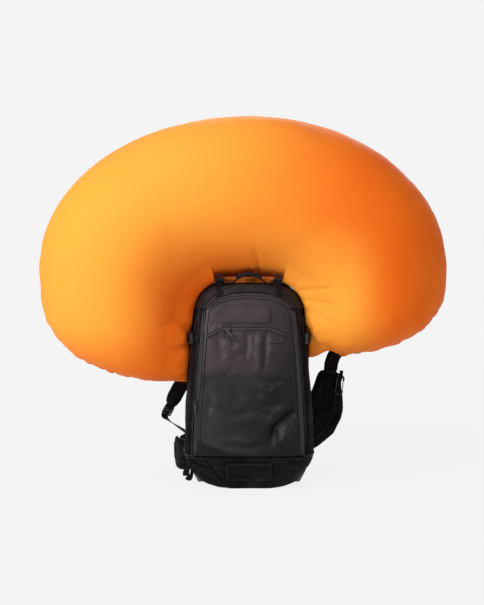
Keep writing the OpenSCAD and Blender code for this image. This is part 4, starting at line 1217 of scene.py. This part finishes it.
def makeSeams():
    for side, sign in (("Left", -1), ("Right", 1)):
        for k, y in enumerate(seams.sideY):
            line = sideLine(sign, y, seams.sideLift)
            piped("sidePiping%s%d" % (side, k), line, seams.sidePiping, "pack", "body_fabric")
            line = sideLine(sign, y + seams.stitchAside, seams.stitchLift)
            stitched("sideStitch%s%d" % (side, k), line, "pack", "body_fabric")
    for name, run, slot in (("hood", seams.hood, "body_fabric"), ("boot", seams.boot, "base_fabric")):
        piped(name + "Piping", aroundPack(*run, seams.pipingLift), seams.piping, "pack", slot)
    stitched("bootStitch", aroundPack(*seams.bootStitch, seams.stitchLift), "pack", "base_fabric")
    foot = [0.01 * i for i in range(-seams.footHalf, seams.footHalf + 1)]
    curve = onFrontLine([(x, panel.bootZ + panel.bootRise * x * x) for x in foot], seams.footLift)
    piped("panelFootPiping", curve, seams.piping, "front_panel", "panel_fabric")
    height = panel.seamZ + seams.crossAbove
    cross = onFrontLine([(-seams.crossHalf, height), (seams.crossHalf, height)], seams.panelLift)
    stitched("crossStitch", cross, "front_panel", "panel_fabric")
    for k, inset in enumerate(seams.flapInsets):
        stitched("flapStitch%d" % k, patchLine("goggle_flap", inset), "front_panel", "panel_fabric")
    stitched("basePatchStitch", patchLine("base_flap", seams.baseInset), "pack", "base_fabric")
    piped("slotBinding", slotLine(), 0.0015, "pack", "body_fabric", closed=True)


makeSeams()
print("seams and zips made")


def webAlong(name, points, side, width, thick=0.0015):  # flat webbing on a line, its width along side
    bpy.ops.mesh.primitive_grid_add(x_subdivisions=len(points) - 1, y_subdivisions=2, size=1)
    piece = bpy.context.object
    piece.name = name
    side = Vector(side)
    for vertex in piece.data.vertices:
        i = round((vertex.co.x + 0.5) * (len(points) - 1))
        ahead = headingAt(points, i)
        across = (side - ahead * side.dot(ahead)).normalized()
        vertex.co = points[i] + across * (vertex.co.y * width)
    applied(piece, "SOLIDIFY", thickness=thick, offset=0)
    startEdit(piece)
    bpy.ops.mesh.normals_make_consistent(inside=False)
    endEdit()
    applied(piece, "BEVEL", width=thick * 0.3, segments=2, limit_method="ANGLE")
    only(piece)
    bpy.ops.object.shade_smooth_by_angle(angle=math.radians(40))
    return piece


# padded bands: binding round the edge, stitched lines and sewn webbing
bands = Values(
    shoulder=((-0.072, 0.1059, 0.449), (-0.078, 0.1083, 0.477), (-0.082, 0.1383, 0.501),
              (-0.082, 0.1823, 0.483), (-0.082, 0.2083, 0.443), (-0.082, 0.2083, 0.387)),
    shoulderEnd=((0.28, 0.2053, 0.325), (0.7, 0.1983, 0.255), (1.0, 0.1863, 0.181)),  # splay share, y, z
    splay={"Left": 0.138, "Right": 0.024},
    wing={
        "Left": ((-0.1162, 0.0855, 0.06), (-0.152, 0.094, 0.06), (-0.188, 0.13, 0.055), (-0.2, 0.18, 0.054),
                 (-0.196, 0.232, 0.06)),
        "Right": ((0.1162, 0.0855, 0.094), (0.15, 0.094, 0.1), (0.19, 0.114, 0.146), (0.212, 0.132, 0.192),
                  (0.221, 0.146, 0.242), (0.228, 0.154, 0.288))},
    wide={
        "Left": ((0, 0.086), (3, 0.096), (8, 0.1), (10, 0.088), (12, 0.05)),
        "Right": ((0, 0.094), (3, 0.086), (6, 0.124), (9, 0.122), (12, 0.092), (14, 0.074), (15, 0.056))},
    wideShoulder=((0, 0.051), (1, 0.059), (18, 0.064), (23, 0.049), (24, 0.038)),
    strapTabs=(("strapTab", -1, 17), ("strapTabUnder", 1, 21)),  # name, face and first place
    strapEnd=(0.0085, 0.003), wingEnd=(0.006, 0.0022),  # a tab's reach past the pad, and off its middle
    shoulderTab=0.025, longTab=(4, 0.036), shortTab=(1, 0.024),  # short where the carabiner swings
    binding=0.0021, sink=0.0008, tabLift=0.001, stitchLift=0.0003,
    shoulderRows=(-0.36, 0.36), wingRows=(-0.22, 0.0, 0.22), tip=(0.34, 0.17, 0, -0.17, -0.34),
)


def widthAt(keys, i):  # straight between the two nearest keys
    for (a, wide), (b, wideNext) in zip(keys, keys[1:]):
        if i <= b:
            return wide + (wideNext - wide) * (i - a) / (b - a)
    return keys[-1][1]


def bandFrame(points, side=None):  # point, direction across and normal all along a band
    out = []
    for i, point in enumerate(points):
        ahead = headingAt(points, i)
        want = Vector(side) if side else Vector((-ahead.z, 0, ahead.x))
        across = (want - ahead * want.dot(ahead)).normalized()
        out.append((point, across, ahead.cross(across)))
    return out


def layOn(skin, point, normal, lift):  # drops a point on a pad from outside
    spot = skin.ray_cast(point + normal * probe.start, -normal, probe.padReach)[0]
    return (spot if spot else point + normal * probe.padHalf) + normal * lift


def edging(name, skin, band, widths, body):  # binding on the finished pad's own edge
    def edge(start, aim):
        spot = skin.ray_cast(start - aim * probe.start, aim, probe.padReach)[0]
        return spot + aim * bands.sink if spot else None

    one = [edge(p + s * (w / 2), -s) for (p, s, n), w in zip(band, widths)]
    two = [edge(p - s * (w / 2), s) for (p, s, n), w in zip(band, widths)]
    end, across, normal = band[-1]
    heading = (end - band[-2][0]).normalized()
    tip = [edge(end + across * (widths[-1] * share), -heading) for share in bands.tip]
    line = [p for p in one[:-1] + tip + two[-2::-1] if p]
    piped(name, resampled(line, 0.005), bands.binding, body, "webbing")


def sewnLines(name, skin, band, widths, shares, facing, last, body):
    def normalAt(point):
        return band[min(range(len(band)), key=lambda k: (band[k][0] - point).length)][2] * facing

    rows = []
    for share in shares:
        line = [layOn(skin, p + s * (w * share), n * facing, bands.stitchLift)
                for (p, s, n), w in zip(band, widths)]
        rows.append(stitchRow(name, resampled(line[1:last], 0.006), normalAt))
    finishPiece(joinAll(rows, name), stitchThread, body, "pad_fabric")


def shoulderLine(side):
    flip = 1 if side == "Left" else -1
    startX = bands.shoulder[-1][0]
    points = list(bands.shoulder)
    points += [(startX - bands.splay[side] * share, y, z) for share, y, z in bands.shoulderEnd]
    return smoothPath([(x * flip, y, z) for x, y, z in points], 3)


def sewTab(name, line, pitch, side, width, body):
    finishPiece(webAlong(name, resampled(line, pitch), side, width), blackWeb, body, "webbing")


def trimShoulder(side):
    band = bandFrame(shoulderLine(side), (1, 0, 0))
    wide = [widthAt(bands.wideShoulder, i) for i in range(len(band))]
    skin = tree(bpy.data.objects["shoulderPad" + side])
    edging("shoulderBinding" + side, skin, band, wide, "pack")
    sewnLines("shoulderStitch" + side, skin, band, wide, bands.shoulderRows, -1, len(band) - 1, "pack")
    past, off = bands.strapEnd
    end, across, normal = band[-1]
    end = end + (end - band[-2][0]).normalized() * past
    for name, facing, first in bands.strapTabs:
        line = [layOn(skin, p, n * facing, bands.tabLift) for p, s, n in band[first:]]
        line.append(end + normal * (off * facing))
        sewTab(name + side, line, 0.005, (1, 0, 0), bands.shoulderTab, "pack")


def trimWing(side):
    body = "hip_" + side.lower()
    band = bandFrame(smoothPath(bands.wing[side], 3), (0, 0, 1) if side == "Left" else None)
    wide = [widthAt(bands.wide[side], i) for i in range(len(band))]
    skin = tree(bpy.data.objects["hipPad" + side])
    edging("wingBinding" + side, skin, band, wide, body)
    last = len(band) - 1
    end, across, normal = band[last]
    heading = (end - band[last - 1][0]).normalized()
    past, off = bands.wingEnd
    faces = (("Front", 1), ("Back", -1))
    for label, facing in faces:
        sewnLines("wingStitch" + label + side, skin, band, wide, bands.wingRows, facing, last, body)
    for label, facing in faces:
        reach, width = bands.shortTab if (side, label) == ("Right", "Front") else bands.longTab
        line = [layOn(skin, p, n * facing, bands.tabLift) for p, s, n in band[last - reach:]]
        line.append(end + heading * past + normal * (off * facing))
        sewTab("wingTab" + label + side, line, 0.006, across, width, body)


for side in ("Left", "Right"):
    trimShoulder(side)
    trimWing(side)
print("pads bound and stitched")

# release cable: up the left strap under small sleeves, then into the back of the pack
cable = Values(
    radius=0.0024, aside=0.0218, lift=0.0106, sleeve=0.0039, sleeves=(2, 4, 6, 8),
    low=15, high=4,  # places on the strap
    start=((-0.104, 0.2248, 0.345), (-0.0974, 0.2255, 0.3536)),
    end=((-0.096, 0.1043, 0.523), (-0.088, 0.0834, 0.519)),
    ring=(-0.006, -0.0052, 0.0052, 0.006),
)


def makeCable():
    band = bandFrame(shoulderLine("Left"), (1, 0, 0))
    climb = [p - s * cable.aside - n * cable.lift for p, s, n in band[cable.low:cable.high:-1]]
    route = [Vector(p) for p in cable.start] + climb + [Vector(p) for p in cable.end]
    line = tubeAlong("triggerCable", resampled(smoothPath(route, 6), 0.004), cable.radius, sides=4)
    finishPiece(line, blackMould, "pack", "buckle_plastic", "trigger_cable")
    sleeves = []
    for k in cable.sleeves:
        ring = [climb[k] + headingAt(climb, k) * step for step in cable.ring]
        sleeves.append(tubeAlong("cableSleeve", ring, cable.sleeve, sides=4))
    finishPiece(joinAll(sleeves, "cableSleeves"), trimCloth, "pack", "webbing")


makeCable()
print("cable made")

# small sewn pieces on the pack
tabs = Values(
    slot=((0.053, 0.3985), (0.09, 0.401)), slotEnd=((0.087, 0.4), (0.087, 0.4115)),
    slotLip=((0.05, 0.3945), (0.093, 0.397)), slotWide=0.0062, slotEndWide=0.006,
    slotThick=0.0012, slotLift=0.0007, slotEndLift=0.0009, lipLift=0.0006, lipRadius=0.0011,
    crownX=0.077, crownWide=0.019, crownStart=((-0.0125, 0.556), (-0.02, 0.5515)),
    crownY=(-0.03, -0.038, -0.046, -0.054),
    gripY=-0.022, gripRadius=0.0046, gripFlat=2.5,
    grip=((-0.033, 0.5626), (-0.02, 0.5709), (0, 0.5739), (0.02, 0.5709), (0.033, 0.5626)),
    keeper=((-0.078, 0.024), (-0.092, 0.041), (-0.106, 0.058), (-0.118, 0.074), (-0.126, 0.086)),
    loop=((-0.128, -0.087, 0.088), (-0.146, -0.09, 0.078), (-0.164, -0.08, 0.058), (-0.168, -0.062, 0.036),
          (-0.158, -0.046, 0.026), (-0.1535, -0.03, 0.036), (-0.1545, -0.022, 0.052)),
    keeperSide=(0.75, 0, -0.65), loopSide=(0.35, 0.65, -0.6), toolWide=0.018, lift=0.0012,
)


def makeGoggleTrim():
    pull = []
    for x, z in goggle.pull:  # clear of the panel over the slider's travel
        ahead = min(onFront(x + goggle.travelStep * k, z).y for k in range(goggle.travelSteps + 1))
        pull.append(Vector((x, ahead - goggle.pullLift, z)))
    pull = webAlong(
        "gogglePull", resampled(pull, 0.006), goggle.pullSide, goggle.pullWide, goggle.pullThick)
    finishPiece(pull, zipMould, "goggle_slider", "zip")
    line = onFrontLine(tabs.slot, tabs.slotLift)
    slot = webAlong("cordSlot", line, (0, 0, 1), tabs.slotWide, tabs.slotThick)
    line = onFrontLine(tabs.slotEnd, tabs.slotEndLift)
    stub = webAlong("cordSlotEnd", line, (1, 0, 0), tabs.slotEndWide, tabs.slotThick)
    finishPiece(joinAll([slot, stub], "cordSlot"), zipTape, "front_panel", "zip")
    lip = onFrontLine(tabs.slotLip, tabs.lipLift)
    piped("cordSlotLip", lip, tabs.lipRadius, "front_panel", "panel_fabric")


def makeCrownTrim():  # buckle tabs, and the rolled grip round the middle of the handle
    pair = []
    for x in (-tabs.crownX, tabs.crownX):
        line = [Vector((x, y, z)) for y, z in tabs.crownStart]
        line += [onSkin((x, y, 1), (0, 0, -1), tabs.lift)[0] for y in tabs.crownY]
        pair.append(webAlong("crownTab", resampled(line, 0.004), (1, 0, 0), tabs.crownWide))
    finishPiece(joinAll(pair, "crownTabs"), blackWeb, "pack", "webbing")
    rise = smoothPath([(x, tabs.gripY, z) for x, z in tabs.grip], 5)
    grip = tubeAlong("handleGrip", rise, tabs.gripRadius, sides=4)
    for v in grip.data.vertices:
        v.co.y = tabs.gripY + (v.co.y - tabs.gripY) * tabs.gripFlat
    finishPiece(grip, trimCloth, "pack", "webbing")


def makeToolLoop():  # at the lower left corner, with its keeper strap
    keeper = [onFront(x, z, tabs.lift) for x, z in tabs.keeper]
    sewTab("toolKeeper", keeper, 0.005, tabs.keeperSide, tabs.toolWide, "pack")
    loop = webAlong("toolLoop", smoothPath(tabs.loop, 5), tabs.loopSide, tabs.toolWide)
    finishPiece(loop, blackWeb, "pack", "webbing")


makeGoggleTrim()
makeCrownTrim()
makeToolLoop()
print("tabs made")
